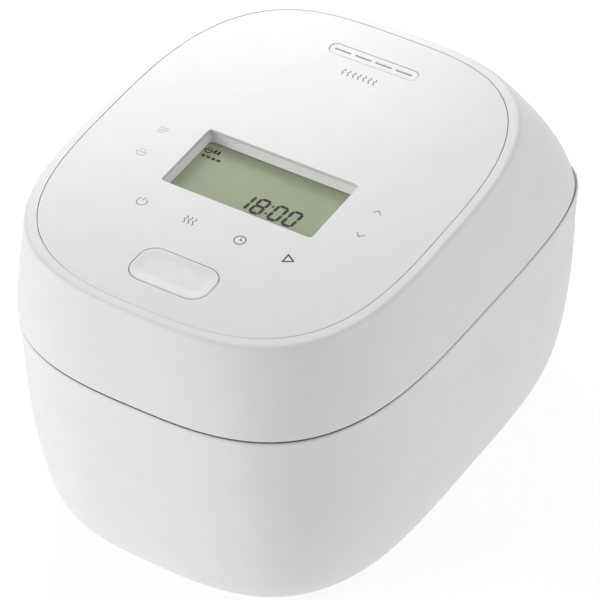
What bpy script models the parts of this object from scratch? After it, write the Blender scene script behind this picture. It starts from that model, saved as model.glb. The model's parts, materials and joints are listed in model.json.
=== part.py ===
"""Induction rice cooker: a body with an inner pot, and a hinged lid with a latch button and a display.

Lengths are in millimetres and become metres when a mesh is made. The origin is under the middle of the
body at floor level, +X is the cooker's right side, -Y its front and +Z is up.
"""
import math

import bmesh
import bpy
from mathutils import Vector

MM = 0.001
GAP = 0.3
SIDES = 48

# Outside of the body and of the lid. Every plan outline is a superellipse in two halves.
WAIST_Y = 2.5
HALF_WIDTH = 120.0
FRONT_REACH = 157.5
RIM_REACH = 152.5
LID_REACH = 146.5
FRONT_POWERS = (2.97, 3.34)
REAR_POWERS = (7.1, 4.32)
WALL = 2.5
RIM_Z = 130.0
LID_Z = 131.0
SEAM_Z = 130.5
RIM_STEP = 2.1
RIM_CHAMFER = 1.4
RIM_LIP = 1.8
FOOT_H = 2.5
UPPER_DEPTH = 22.0
UPPER_TAPER = 0.0463
LOWER_DEPTH = SEAM_Z - UPPER_DEPTH
LOWER_INSET = 15.7

# Top panel: a flat sheet that rises to the rear, set in a sloping frame.
PANEL_Y = -5.5
PANEL_HALF = 106.6
PANEL_FRONT = 135.4
PANEL_REAR = 120.2
PANEL_FRONT_POWERS = (2.83, 3.53)
PANEL_REAR_POWERS = (3.37, 2.71)
PANEL_Z = 197.1
PANEL_SLOPE = 0.0582
PANEL_THICK = 2.0
BEVEL_WIDE = 6.0
BEVEL_DROP = 0.4
LEDGE_DEEP = 2.3
LEDGE_WIDE = 4.0
LID_BOW = 1.5

# Display window, latch button and steam outlet in the panel.
WINDOW_Y = -28.0
WINDOW = (96.0, 48.0, 2.0)
SCREEN_DEPTH = 8.0
BUTTON_Y = -110.5
BUTTON = (48.0, 25.2, 9.4)
BUTTON_HOLE = (49.2, 26.4, 10.0)
BUTTON_THICK = 6.0
STEAM_Y = 88.5
STEAM = (57.2, 8.8, 4.3)

# Pot, its well and the deck around them.
POT_Y = -22.0
POT_R = 89.5
POT_WALL = 2.0
POT_BASE_Z = 30.0
POT_CORNER = 19.5
FLANGE_R = 96.0
FLANGE_Z = 119.3
WELL_R = 91.5
WELL_WALL = 2.5
WELL_LIP_R = 100.7
DECK_Z = 126.0
DECK_THICK = 3.0
DECK_INSET = 3.2
OPENING_R = 97.5
COLLAR_R = 101.0

# Underside of the lid.
LINER_Z = 131.3
LINER_THICK = 2.2
DUCT_Y = 25.0

# Hinge at the rear, and latch at the front.
HINGE_Y = 141.0
HINGE_Z = 138.0
SHAFT_R = 3.0
BORE_R = 3.3
KNUCKLE_R = 10.0
COVER_R = 11.0
COVER_HALF = 50.0
ARM_IN = 51.0
ARM_OUT = 62.5
NOTCH_HALF = 63.5
NOTCH_TOP = 152.4
POCKET_R = 12.5
LATCH_Y = -128.0
LATCH_Z = 148.0
TOE_Z = 118.5
STEM_Z = 158.2

# Sprung sensor under the pot, and the cooling fan.
SENSOR_TOP = POT_BASE_Z - GAP
FAN_X = 50.0
FAN_Y = 104.0
FAN_SIZE = 56.0
FAN_Z = 6.0
FAN_THICK = 15.0
FAN_R = 27.0

# Feet and screws as (x, y) places, the mains inlet's middle, and the power board as x and y limits.
FOOT_PLACES = ((72.0, -105.0), (80.0, 108.0), (-72.0, -105.0), (-80.0, 108.0))
SCREW_PLACES = ((95.0, -30.0), (95.0, 50.0), (-95.0, -30.0), (-95.0, 50.0))
INLET = (-60.0, 128.0, 42.0)
BOARD = (-80.0, 12.0, 82.0, 132.0)
BOARD_Z = 14.0
BOARD_POSTS = ((-74.0, 88.0), (-74.0, 126.0), (6.0, 88.0), (6.0, 126.0))

FINISHES = {
    "white_plastic": ((0.83, 0.83, 0.82), 0.42, 0.0),
    "panel_white": ((0.86, 0.86, 0.86), 0.3, 0.0),
    "deck_grey": ((0.55, 0.55, 0.56), 0.45, 0.0),
    "base_grey": ((0.3, 0.3, 0.31), 0.6, 0.0),
    "dark_plastic": ((0.05, 0.05, 0.055), 0.5, 0.0),
    "bezel_grey": ((0.5, 0.51, 0.51), 0.5, 0.0),
    "clear_plastic": ((0.9, 0.92, 0.9), 0.08, 0.0),
    "display": ((0.37, 0.4, 0.29), 0.25, 0.0),
    "rubber": ((0.08, 0.08, 0.085), 0.8, 0.0),
    "silicone": ((0.45, 0.46, 0.47), 0.6, 0.0),
    "steel": ((0.62, 0.62, 0.63), 0.3, 1.0),
    "aluminium": ((0.72, 0.73, 0.74), 0.35, 1.0),
    "pot_coating": ((0.06, 0.06, 0.065), 0.35, 0.3),
    "copper": ((0.72, 0.36, 0.2), 0.4, 1.0),
    "brass": ((0.72, 0.58, 0.3), 0.35, 1.0),
    "ferrite": ((0.09, 0.09, 0.1), 0.7, 0.0),
    "board": ((0.05, 0.22, 0.11), 0.5, 0.0),
}


def clear_scene():
    for obj in list(bpy.data.objects):
        bpy.data.objects.remove(obj, do_unlink=True)


def finish(name):
    """The named finish as a material, made the first time it is asked for."""
    mat = bpy.data.materials.get(name)
    if mat is None:
        colour, roughness, metallic = FINISHES[name]
        mat = bpy.data.materials.new(name)
        mat.use_nodes = True
        shader = mat.node_tree.nodes["Principled BSDF"]
        shader.inputs["Base Color"].default_value = (*colour, 1.0)
        shader.inputs["Roughness"].default_value = roughness
        shader.inputs["Metallic"].default_value = metallic
    return mat


def axis_empty(name, place, parent=None):
    """An empty on a joint's axis, which the moving pieces hang from."""
    empty = bpy.data.objects.new(name, None)
    empty.location = Vector(place) * MM
    if parent is not None:
        empty.parent = parent
        empty.location -= parent_place(parent)
    bpy.context.scene.collection.objects.link(empty)
    return empty


def parent_place(obj):
    """World position, in metres, of an empty in a chain of unrotated empties."""
    place = Vector((0.0, 0.0, 0.0))
    while obj is not None:
        place += obj.location
        obj = obj.parent
    return place


def add(name, points, faces, look, axis=None):
    """A closed mesh object from points given in the cooker's own frame."""
    shift = parent_place(axis)
    mesh = bpy.data.meshes.new(name)
    mesh.from_pydata([Vector(p) * MM - shift for p in points], [], faces)
    bm = bmesh.new()
    bm.from_mesh(mesh)
    bmesh.ops.recalc_face_normals(bm, faces=bm.faces)
    bm.to_mesh(mesh)
    bm.free()
    mesh.shade_smooth()
    mesh.set_sharp_from_angle(angle=math.radians(35))
    mesh.materials.append(finish(look))
    obj = bpy.data.objects.new(name, mesh)
    obj.parent = axis
    bpy.context.scene.collection.objects.link(obj)
    return obj


def loft(name, rings, look, axis=None, loop=False):
    """Rings of equal length joined in order; a loop joins the last to the first, else both ends are capped."""
    count = len(rings[0])
    points = [p for ring in rings for p in ring]
    faces = []
    for i in range(len(rings) if loop else len(rings) - 1):
        low = i * count
        high = (i + 1) % len(rings) * count
        for j in range(count):
            k = (j + 1) % count
            faces.append((low + j, low + k, high + k, high + j))
    if not loop:
        faces.append(tuple(reversed(range(count))))
        faces.append(tuple(range(len(points) - count, len(points))))
    return add(name, points, faces, look, axis)


def cut(obj, *tools):
    for tool in tools:
        boolean(obj, tool, "DIFFERENCE")


def join(obj, *tools):
    for tool in tools:
        boolean(obj, tool, "UNION")


def boolean(obj, tool, operation):
    tool.hide_render = True
    tool.display_type = "WIRE"
    modifier = obj.modifiers.new(operation.lower() + "_" + tool.name, "BOOLEAN")
    modifier.operation = operation
    modifier.object = tool


def half_powered(t, half, front, rear, front_powers, rear_powers):
    """The point at parameter t of an outline whose front and rear halves are superellipses."""
    c, s = math.cos(t), math.sin(t)
    power_x, power_y = front_powers if s < 0 else rear_powers
    reach = front if s < 0 else rear
    x = math.copysign(abs(c) ** (2.0 / power_x), c) * half
    y = math.copysign(abs(s) ** (2.0 / power_y), s) * reach
    return x, y


def body_plan(inset=0.0, rear=RIM_REACH):
    turns = [math.tau * i / SIDES for i in range(SIDES)]
    shape = [half_powered(t, HALF_WIDTH - inset, FRONT_REACH - inset, rear - inset, FRONT_POWERS, REAR_POWERS)
             for t in turns]
    return [(x, y + WAIST_Y) for x, y in shape]


def panel_plan(grow=0.0):
    turns = [math.tau * i / SIDES for i in range(SIDES)]
    shape = [half_powered(t, PANEL_HALF + grow, PANEL_FRONT + grow, PANEL_REAR + grow,
                          PANEL_FRONT_POWERS, PANEL_REAR_POWERS) for t in turns]
    return [(x, y + PANEL_Y) for x, y in shape]


def circle(radius, centre=(0.0, 0.0), sides=SIDES):
    return [(centre[0] + radius * math.cos(math.tau * i / sides),
             centre[1] + radius * math.sin(math.tau * i / sides)) for i in range(sides)]


def rounded(width, depth, radius, centre=(0.0, 0.0), steps=5):
    """A rectangle with round corners."""
    plan = []
    for quarter, (sx, sy) in enumerate(((1, 1), (-1, 1), (-1, -1), (1, -1))):
        cx = centre[0] + sx * (width / 2 - radius)
        cy = centre[1] + sy * (depth / 2 - radius)
        for i in range(steps):
            turn = (quarter + i / (steps - 1)) * math.pi / 2
            plan.append((cx + radius * math.cos(turn), cy + radius * math.sin(turn)))
    return plan


def rectangle(x0, x1, y0, y1):
    return [(x1, y1), (x0, y1), (x0, y0), (x1, y0)]


def ring(plan, z):
    """The plan at a height, which may be a function of y."""
    return [(x, y, z(y) if callable(z) else z) for x, y in plan]


def prism(name, plan, low, high, look, axis=None):
    return loft(name, [ring(plan, low), ring(plan, high)], look, axis)


def box(name, x0, x1, y0, y1, z0, z1, look="steel", axis=None):
    return prism(name, rectangle(x0, x1, y0, y1), z0, z1, look, axis)


def slab(name, side_view, x0, x1, look, axis=None):
    """A shape drawn from the side, as (y, z) points, and given a width along X."""
    rings = [[(x, y, z) for y, z in side_view] for x in (x0, x1)]
    return loft(name, rings, look, axis)


def round_bar(name, radius, x0, x1, y, z, look="steel", axis=None, sides=16):
    return slab(name, circle(radius, (y, z), sides), x0, x1, look, axis)


def turned(name, profile, look, centre=(0.0, 0.0), axis=None, sides=SIDES, loop=True):
    """A profile of (radius, z) points turned about a vertical axis."""
    rings = [ring(circle(r, centre, sides), z) for r, z in profile]
    return loft(name, rings, look, axis, loop)


def arc(cy, cz, radius, start, stop, steps):
    """Points on an arc between two angles in degrees."""
    turns = [math.radians(start + (stop - start) * i / steps) for i in range(steps + 1)]
    return [(cy + radius * math.cos(t), cz + radius * math.sin(t)) for t in turns]


def spring(name, radius, wire, ends, turns, look="steel", along_x=False, centre=(0.0, 0.0), axis=None):
    """A helix of round wire about a vertical axis, or about one along X."""
    steps, sides = 8, 5
    rings = []
    rise = (ends[1] - ends[0]) / (turns * math.tau)
    for i in range(turns * steps + 1):
        t = math.tau * i / steps
        out = Vector((math.cos(t), math.sin(t), 0.0))
        along = Vector((-radius * math.sin(t), radius * math.cos(t), rise)).normalized()
        side = along.cross(out)
        middle = out * radius + Vector((0.0, 0.0, ends[0] + rise * t))
        section = []
        for j in range(sides):
            a = math.tau * j / sides
            p = middle + (out * math.cos(a) + side * math.sin(a)) * wire
            if along_x:
                section.append((p.z, centre[0] + p.x, centre[1] + p.y))
            else:
                section.append((centre[0] + p.x, centre[1] + p.y, p.z))
        rings.append(section)
    return loft(name, rings, look, axis)


def panel_z(y, depth=0.0):
    return PANEL_Z + PANEL_SLOPE * (y - WAIST_Y) - depth


def below_panel(depth):
    return lambda y: panel_z(y, depth)


def body_inset(z):
    """How far the body's outside has drawn in at a height."""
    depth = SEAM_Z - z
    if depth <= UPPER_DEPTH:
        return UPPER_TAPER * depth
    rise = min(1.0, (depth - UPPER_DEPTH) / LOWER_DEPTH)
    return UPPER_TAPER * UPPER_DEPTH + LOWER_INSET * (1.0 - math.sqrt(1.0 - rise * rise))


def body_levels():
    """Heights of the body's rings, closer together where it curves in."""
    levels = [RIM_Z - RIM_STEP, SEAM_Z - UPPER_DEPTH]
    last = math.asin((SEAM_Z - FOOT_H - UPPER_DEPTH) / LOWER_DEPTH)
    levels += [SEAM_Z - UPPER_DEPTH - LOWER_DEPTH * math.sin(last * i / 5) for i in range(1, 6)]
    return levels


def body_shell():
    outside = [ring(body_plan(body_inset(z)), z) for z in body_levels()]
    inside = [ring(body_plan(body_inset(z) + WALL), z) for z in reversed(body_levels())]
    step_z = RIM_Z - RIM_STEP
    rim = [ring(body_plan(body_inset(step_z) + RIM_LIP), step_z), ring(body_plan(body_inset(RIM_Z) + RIM_LIP), RIM_Z),
           ring(body_plan(body_inset(RIM_Z) + RIM_CHAMFER), RIM_Z)]
    shell = loft("body_shell", outside + inside + rim, "white_plastic", loop=True)
    for x, y in SCREW_PLACES:
        side = math.copysign(1.0, x)
        name = f"{x:.0f}_{y:.0f}"
        rib = box("rib_" + name, min(x, x + 11 * side), max(x, x + 11 * side), y - 2, y + 2, 5.8, 19)
        boss = prism("boss_" + name, circle(5.0, (x, y), 12), 5.8, 20, "white_plastic")
        join(shell, rib, boss)
        cut(shell, prism("pilot_" + name, circle(1.9, (x, y), 8), 4, 16.5, "steel"))
    x, y, z = INLET
    cut(shell, box("inlet_window", x - 17.3, x + 17.3, y, y + 40, z - 13.3, z + 13.3))
    return shell


def top_frame():
    """Deck between the body's rim and the pot, with a collar that holds the well down."""
    outer = body_plan(DECK_INSET)
    hole = (0.0, POT_Y)
    rings = [ring(outer, DECK_Z - DECK_THICK), ring(outer, DECK_Z),
             ring(circle(OPENING_R, hole), DECK_Z), ring(circle(OPENING_R, hole), FLANGE_Z),
             ring(circle(COLLAR_R, hole), FLANGE_Z), ring(circle(COLLAR_R, hole), DECK_Z - DECK_THICK)]
    frame = loft("top_frame", rings, "deck_grey", loop=True)
    cut(frame, box("catch_slot", -9, 9, LATCH_Y - 9.5, LATCH_Y + 1.0, DECK_Z - 10, DECK_Z + 5))


def base_plate():
    plan = body_plan(body_inset(FOOT_H) + WALL + 2 * GAP)
    plate = prism("base_plate", plan, FOOT_H, FOOT_H + 3, "base_grey")
    for i in range(5):
        x = FAN_X - 20 + 10 * i
        cut(plate, prism(f"air_slot_{i}", rounded(4, 40, 1.9, (x, FAN_Y), 2), 0, 8, "steel"))
        cut(plate, prism(f"out_slot_{i}", rounded(4, 40, 1.9, (x - 96, FAN_Y), 2), 0, 8, "steel"))
    for i, place in enumerate(FOOT_PLACES):
        cut(plate, prism(f"foot_hole_{i}", circle(3.3, place, 12), 0, 8, "steel"))
    for i, place in enumerate(SCREW_PLACES):
        cut(plate, prism(f"screw_hole_{i}", circle(2.2, place, 8), 0, 8, "steel"))
        cut(plate, prism(f"screw_seat_{i}", circle(4.2, place, 8), 0, 4.3, "steel"))
    for i, (x, y) in enumerate(BOARD_POSTS):
        join(plate, prism(f"board_post_{i}", circle(3.0, (x, y), 10), 4, BOARD_Z - GAP, "base_grey"))


def feet():
    for i, place in enumerate(FOOT_PLACES, 1):
        profile = [(6.5, 0.0), (8.5, 0.6), (8.5, FOOT_H - GAP), (3.0, FOOT_H - GAP), (3.0, 5.6)]
        turned(f"foot_{i}", profile, "rubber", place, sides=12, loop=False)


def base_screws():
    for i, place in enumerate(SCREW_PLACES, 1):
        profile = [(3.0, 2.7), (3.8, 3.1), (3.8, 4.0), (1.6, 4.0), (1.6, 15.0), (0.8, 16.0)]
        turned(f"base_screw_{i}", profile, "steel", place, sides=8, loop=False)


def bowl(radius, corner, base_z, top_z, steps=3):
    """Half section of a bowl, from its flat bottom up its side."""
    return arc(radius - corner, base_z + corner, corner, -90, 0, steps) + [(radius, top_z)]


def pot_well():
    inside = bowl(WELL_R, 20.0, POT_BASE_Z - 2.5, FLANGE_Z - GAP)
    outer_r = WELL_R + WELL_WALL
    outside = bowl(outer_r, 22.5, POT_BASE_Z - 2.5 - WELL_WALL, FLANGE_Z - GAP - WELL_WALL)
    lip = [(WELL_LIP_R, FLANGE_Z - GAP), (WELL_LIP_R, FLANGE_Z - GAP - WELL_WALL)]
    hole = [(17.0, POT_BASE_Z - 2.5 - WELL_WALL), (17.0, POT_BASE_Z - 2.5)]
    turned("pot_well", hole + inside + lip + outside[::-1], "dark_plastic", (0.0, POT_Y))


def inner_pot(axis):
    outside = bowl(POT_R, POT_CORNER, POT_BASE_Z, FLANGE_Z, 4)
    top = FLANGE_Z + POT_WALL
    lip = [(FLANGE_R - 0.5, FLANGE_Z), (FLANGE_R, FLANGE_Z + 1), (FLANGE_R - 0.5, top), (POT_R - POT_WALL, top)]
    inside = bowl(POT_R - POT_WALL, POT_CORNER - POT_WALL, POT_BASE_Z + POT_WALL, FLANGE_Z, 4)
    turned("inner_pot", outside + lip + inside[::-1], "pot_coating", (0.0, POT_Y), axis, loop=False)


def flat_ring(name, r0, r1, z0, z1, look, centre=(0.0, POT_Y), axis=None, sides=32):
    return turned(name, [(r0, z0), (r0, z1), (r1, z1), (r1, z0)], look, centre, axis, sides)


def heating():
    """Coils, their holder and the ferrite bars under the well."""
    flat_ring("coil_holder", 17.2, 74.0, 17.0, 20.8, "dark_plastic")
    flat_ring("coil_inner", 24.0, 42.0, 21.1, 24.6, "copper")
    flat_ring("coil_outer", 48.0, 67.0, 21.1, 24.6, "copper")
    flat_ring("coil_side", WELL_R + WELL_WALL + 1.0, 99.5, 52.0, 66.0, "copper")
    for i in range(4):
        turn = math.radians(45 + 90 * i)
        corners = [(70, 4.5), (24, 4.5), (24, -4.5), (70, -4.5)]
        plan = [(x * math.cos(turn) - y * math.sin(turn), x * math.sin(turn) + y * math.cos(turn) + POT_Y)
                for x, y in corners]
        prism(f"ferrite_bar_{i + 1}", plan, 12.0, 16.7, "ferrite")


def sensor(axis):
    """Spring-loaded temperature sensor that touches the pot's bottom."""
    centre = (0.0, POT_Y)
    turned("sensor_holder", [(16.5, 8.0), (16.5, 24.6), (9.6, 24.6), (9.6, 10.0)], "dark_plastic", centre,
           sides=24, loop=False)
    profile = [(9.0, 17.0), (9.0, 28.0), (13.0, 28.2), (13.0, SENSOR_TOP - 0.4), (12.4, SENSOR_TOP)]
    turned("bottom_sensor", profile, "aluminium", centre, axis, 24, loop=False)
    spring("sensor_spring", 6.5, 0.6, (11.0, 16.1), 3, centre=centre, axis=axis)


def power_section():
    """Power board on its posts, with its heat sink and its two large components."""
    x0, x1, y0, y1 = BOARD
    box("power_board", x0, x1, y0, y1, BOARD_Z, BOARD_Z + 1.6, "board")
    low = BOARD_Z + 1.6 + GAP
    sink = box("heat_sink", -34, 4, 90, 126, low, low + 5, "aluminium")
    for i in range(5):
        x = -33 + 8.5 * i
        join(sink, box(f"fin_{i}", x, x + 2, 90.5, 125.5, low + 3, low + 34, "aluminium"))
    turned("power_capacitor", [(8.0, low), (8.5, low + 0.5), (8.5, low + 23.5), (8.0, low + 24)], "dark_plastic",
           (-50.0, 98.0), sides=16, loop=False)
    prism("power_relay", rounded(14, 20, 1.0, (-66.0, 115.0), 2), low, low + 15, "board")


def fan(axis):
    centre = (FAN_X, FAN_Y)
    top = FAN_Z + FAN_THICK
    frame = prism("fan_frame", rounded(FAN_SIZE, FAN_SIZE, 5, centre, 3), FAN_Z, top, "dark_plastic")
    bore = turned("fan_bore", [(FAN_R, FAN_Z - 1), (FAN_R, top + 1)], "steel", centre, sides=32, loop=False)
    cut(frame, bore)
    join(frame, box("fan_bar_x", FAN_X - 27.5, FAN_X + 27.5, FAN_Y - 1.5, FAN_Y + 1.5, FAN_Z, FAN_Z + 1.5),
         box("fan_bar_y", FAN_X - 1.5, FAN_X + 1.5, FAN_Y - 27.5, FAN_Y + 27.5, FAN_Z, FAN_Z + 1.5),
         prism("fan_seat", circle(9.0, centre, 20), FAN_Z, FAN_Z + 1.5, "dark_plastic"))
    low = FAN_Z + 1.5 + GAP
    rotor = turned("fan_rotor", [(10.0, low), (10.0, top - 1.5), (9.0, top - 0.8)], "dark_plastic", centre, axis,
                   24, loop=False)
    for i in range(7):
        join(rotor, fan_blade(i, math.tau * i / 7, low + 0.5, top - 2.0))


def fan_blade(number, turn, low, high):
    """A blade from the hub outwards, whose upper edge leads its lower edge."""
    lean = 0.28
    rings = []
    for radius in (8.5, FAN_R - 1.5):
        section = []
        for z, lead in ((low, -lean), (high, lean)):
            for thick in (-0.6, 0.6):
                a = turn + lead + thick / radius
                section.append((FAN_X + radius * math.cos(a), FAN_Y + radius * math.sin(a), z))
        rings.append([section[0], section[1], section[3], section[2]])
    return loft(f"blade_{number}", rings, "dark_plastic")


def power_inlet():
    """Socket for a detachable mains lead, with its two pins."""
    x, y, z = INLET
    housing = box("power_inlet", x - 17, x + 17, y, y + 22.5, z - 13, z + 13, "dark_plastic")
    cut(housing, box("socket", x - 14, x + 14, y + 4, y + 30, z - 10, z + 10))
    for i, side in enumerate((-1, 1), 1):
        px = x + 6.5 * side
        cut(housing, box(f"pin_way_{i}", px - 1.5, px + 1.5, y - 5, y + 6, z - 3.3, z + 3.3))
        box(f"inlet_pin_{i}", px - 1.0, px + 1.0, y - 3, y + 16, z - 3, z + 3, "brass")


def hinge():
    """Fixed half of the hinge: the cover, the shaft and the spring round it."""
    side_view = [(HINGE_Y + 8, DECK_Z + GAP)] + arc(HINGE_Y, HINGE_Z, COVER_R, -40, 220, 14)
    side_view += [(HINGE_Y - 8, DECK_Z + GAP)]
    cover = slab("hinge_cover", side_view, -COVER_HALF, COVER_HALF, "white_plastic")
    hollow = [(HINGE_Y + 8.4, DECK_Z - 2)] + arc(HINGE_Y, HINGE_Z, 8.4, 0, 180, 10) + [(HINGE_Y - 8.4, DECK_Z - 2)]
    cut(cover, slab("cover_hollow", hollow, -38, 38, "steel"),
        round_bar("cover_bore", BORE_R, -60, 60, HINGE_Y, HINGE_Z, sides=16))
    round_bar("hinge_shaft", SHAFT_R, -ARM_OUT - 0.5, ARM_OUT + 0.5, HINGE_Y, HINGE_Z, sides=16)
    spring("hinge_spring", 5.4, 0.9, (-32.0, 32.0), 7, along_x=True, centre=(HINGE_Y, HINGE_Z))


def lid_point(base, top, share):
    """A point of the lid's side, part of the way up; the side bows out a little."""
    across = share ** LID_BOW
    return (base[0] + (top[0] - base[0]) * across, base[1] + (top[1] - base[1]) * across,
            base[2] + (top[2] - base[2]) * share)


def lid_side(inset, drop):
    """Rings up the lid's side, from its lower edge to the foot of its sloping frame."""
    base = ring(body_plan(inset, LID_REACH), LID_Z)
    top = ring(panel_plan(BEVEL_WIDE - inset), below_panel(drop))
    return [[lid_point(b, t, share) for b, t in zip(base, top)] for share in (0.0, 0.25, 0.5, 0.75, 1.0)]


def lid_shell(axis):
    outside = lid_side(0.0, BEVEL_DROP)
    ledge = [ring(panel_plan(), below_panel(0.0)), ring(panel_plan(), below_panel(LEDGE_DEEP)),
             ring(panel_plan(-LEDGE_WIDE), below_panel(LEDGE_DEEP)),
             ring(panel_plan(-LEDGE_WIDE), below_panel(LEDGE_DEEP + 2.0))]
    inside = lid_side(WALL, BEVEL_DROP + 4.5)
    shell = loft("lid_shell", outside + ledge + inside[::-1], "white_plastic", axis, loop=True)
    cut(shell, box("hinge_notch", -NOTCH_HALF, NOTCH_HALF, 122, 165, 120, NOTCH_TOP))


def top_panel(axis):
    plan = panel_plan(-GAP - 0.1)
    panel = prism("top_panel", plan, below_panel(PANEL_THICK), below_panel(0.0), "panel_white", axis)
    cut(panel, prism("window_hole", rounded(*WINDOW, (0, WINDOW_Y)), 150, 230, "steel"),
        prism("button_hole", rounded(*BUTTON_HOLE, (0, BUTTON_Y), 8), 150, 230, "steel"),
        prism("steam_hole", rounded(*STEAM, (0, STEAM_Y), 6), 150, 230, "steel"))


def display(axis):
    """Clear window, the frame below it, the display and the control board."""
    width, depth, radius = WINDOW
    centre = (0, WINDOW_Y)
    lens_plan = rounded(width - 2 * GAP, depth - 2 * GAP, radius, centre)
    prism("window_lens", lens_plan, below_panel(1.7), below_panel(0.1), "clear_plastic", axis)
    low = below_panel(SCREEN_DEPTH - GAP)
    high = below_panel(PANEL_THICK + GAP)
    outer = rounded(width + 6, depth + 6, radius + 1, centre)
    mouth = rounded(width + 0.4, depth + 0.4, radius, centre)
    throat = rounded(width + 0.4, depth - 1.1, radius, (0, WINDOW_Y - 0.75))
    loft("lcd_bezel", [ring(outer, low), ring(outer, high), ring(mouth, high), ring(throat, low)],
         "bezel_grey", axis, loop=True)
    screen = rounded(width + 8, depth + 6, 2.0, centre)
    prism("lcd_module", screen, below_panel(SCREEN_DEPTH + 3.5), below_panel(SCREEN_DEPTH), "display", axis)
    board = rounded(152, 92, 4.0, (0, -37))
    prism("control_board", board, below_panel(15.6), below_panel(14.0), "board", axis)


def hook_button(lid, axis):
    """Latch button with its stem, the guide under it and its return spring."""
    centre = (0.0, BUTTON_Y)
    plate = prism("hook_button", rounded(*BUTTON, centre, 8), below_panel(BUTTON_THICK), below_panel(0.0),
                  "panel_white", axis)
    stem = turned("button_stem", [(2.5, STEM_Z), (4.0, STEM_Z + 2), (4.0, 187.0)], "steel", centre, sides=16,
                  loop=False)
    join(plate, stem)
    legs = [(31, 163), (31, 187), (27.5, 187), (27.5, 166), (-27.5, 166), (-27.5, 187), (-31, 187), (-31, 163)]
    rings = [[(x, y, z) for x, z in legs] for y in (BUTTON_Y - 11, BUTTON_Y + 11)]
    guide = loft("button_guide", rings, "deck_grey", lid)
    cut(guide, prism("stem_hole", circle(4.5, centre, 20), 155, 170, "steel"))
    spring("button_spring", 7.0, 0.6, (167.0, 183.3), 4, centre=centre, axis=axis)


def latch(lid, axis):
    """Lever whose hook passes through the deck, on its pin in a bracket."""
    y, z = LATCH_Y, LATCH_Z
    lever = [(y - 4, z - 26), (y - 3.5, TOE_Z + 0.5), (y - 1.5, TOE_Z), (y + 0.6, TOE_Z + 3.5), (y - 0.3, TOE_Z + 4.2),
             (y - 0.5, z - 8), (y + 5, z - 3), (y + 24, z + 5.5), (y + 24, z + 9.5), (y + 12, z + 9.5),
             (y - 1, z + 6), (y - 5, z + 3), (y - 5, z - 6)]
    hook = slab("latch_hook", lever, -7, 7, "steel", axis)
    cut(hook, round_bar("lever_bore", 2.3, -9, 9, y, z, sides=16))
    base = LINER_Z + LINER_THICK + GAP
    bracket = box("latch_bracket", -14, 14, y - 12, y + 8, base, base + 2, axis=lid)
    join(bracket, box("ear_left", -11, -8, y - 6, y + 6, base + 0.5, z + 5),
         box("ear_right", 8, 11, y - 6, y + 6, base + 0.5, z + 5))
    cut(bracket, round_bar("bracket_bore", 2.3, -20, 20, y, z, sides=16),
        box("hook_way", -7.6, 7.6, y - 10, y + 3, base - 2, base + 4))
    round_bar("latch_pin", 2.0, -13, 13, y, z, axis=lid, sides=16)


def lid_liner(axis):
    """Plate that closes the lid from below, with a wall round the heating plate."""
    shape = [half_powered(math.tau * i / SIDES, HALF_WIDTH - 3.5, FRONT_REACH - 3.5, LID_REACH - 4.5,
                          FRONT_POWERS, REAR_POWERS) for i in range(SIDES)]
    plan = [(x, y + WAIST_Y) for x, y in shape]
    liner = prism("lid_liner", plan, LINER_Z, LINER_Z + LINER_THICK, "deck_grey", axis)
    join(liner, flat_ring("liner_wall", 92.0, 96.5, 127.0, LINER_Z + 1, "deck_grey", sides=SIDES))
    cut(liner, box("hinge_room", -NOTCH_HALF, NOTCH_HALF, 127.6, 160, 120, 140),
        box("hook_room", -9, 9, LATCH_Y - 11, LATCH_Y + 2, 120, 140),
        duct_hole("liner_duct_hole", 34, 20))


def duct_hole(name, width, depth):
    return prism(name, rounded(width, depth, depth / 2 - 0.1, (0, DUCT_Y), 5), 100, 145, "steel")


def lid_plates(axis):
    """Heating plate and its element, and the removable inner lid with its seal."""
    plate = prism("heater_plate", circle(91.0, (0, POT_Y)), 126.9, 128.1, "aluminium", axis)
    cut(plate, duct_hole("plate_duct_hole", 34, 20))
    flat_ring("lid_heater", 58.0, 76.0, 128.4, 130.6, "silicone", axis=axis)
    inner = turned("inner_lid", [(78.0, 122.6), (83.9, 123.4), (83.9, 125.2), (78.0, 124.1)], "aluminium",
                   (0.0, POT_Y), axis, loop=False)
    cut(inner, duct_hole("steam_way", 24, 10))
    seal = [(84.3, 122.6), (88.0, 121.7), (93.0, 121.7), (94.5, 123.5), (94.5, 126.3), (84.3, 126.3)]
    turned("lid_gasket", seal, "silicone", (0.0, POT_Y), axis)


def steam_parts(axis):
    """Slotted outlet in the panel and the duct that leads to it."""
    width, depth, radius = STEAM
    grille = prism("steam_grille", rounded(width - 2 * GAP, depth - 2 * GAP, radius - GAP, (0, STEAM_Y), 6),
                   below_panel(3.0), below_panel(0.2), "panel_white", axis)
    for i in range(4):
        slit = rounded(10.5, 1.1, 0.5, (13.2 * (i - 1.5), STEAM_Y), 3)
        cut(grille, prism(f"slit_{i}", slit, 150, 230, "steel"))
    places = ((DUCT_Y, 125.8, 30, 16), (DUCT_Y, 137.0, 30, 16), (STEAM_Y, below_panel(16.0), 55, 11),
              (STEAM_Y, below_panel(3.4), 55, 11))
    outside = [ring(rounded(w, d, d / 2 - 0.1, (0, y)), z) for y, z, w, d in places]
    inside = [ring(rounded(w - 4, d - 4, d / 2 - 2.1, (0, y)), z) for y, z, w, d in reversed(places)]
    loft("steam_duct", outside + inside, "silicone", axis, loop=True)


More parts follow.
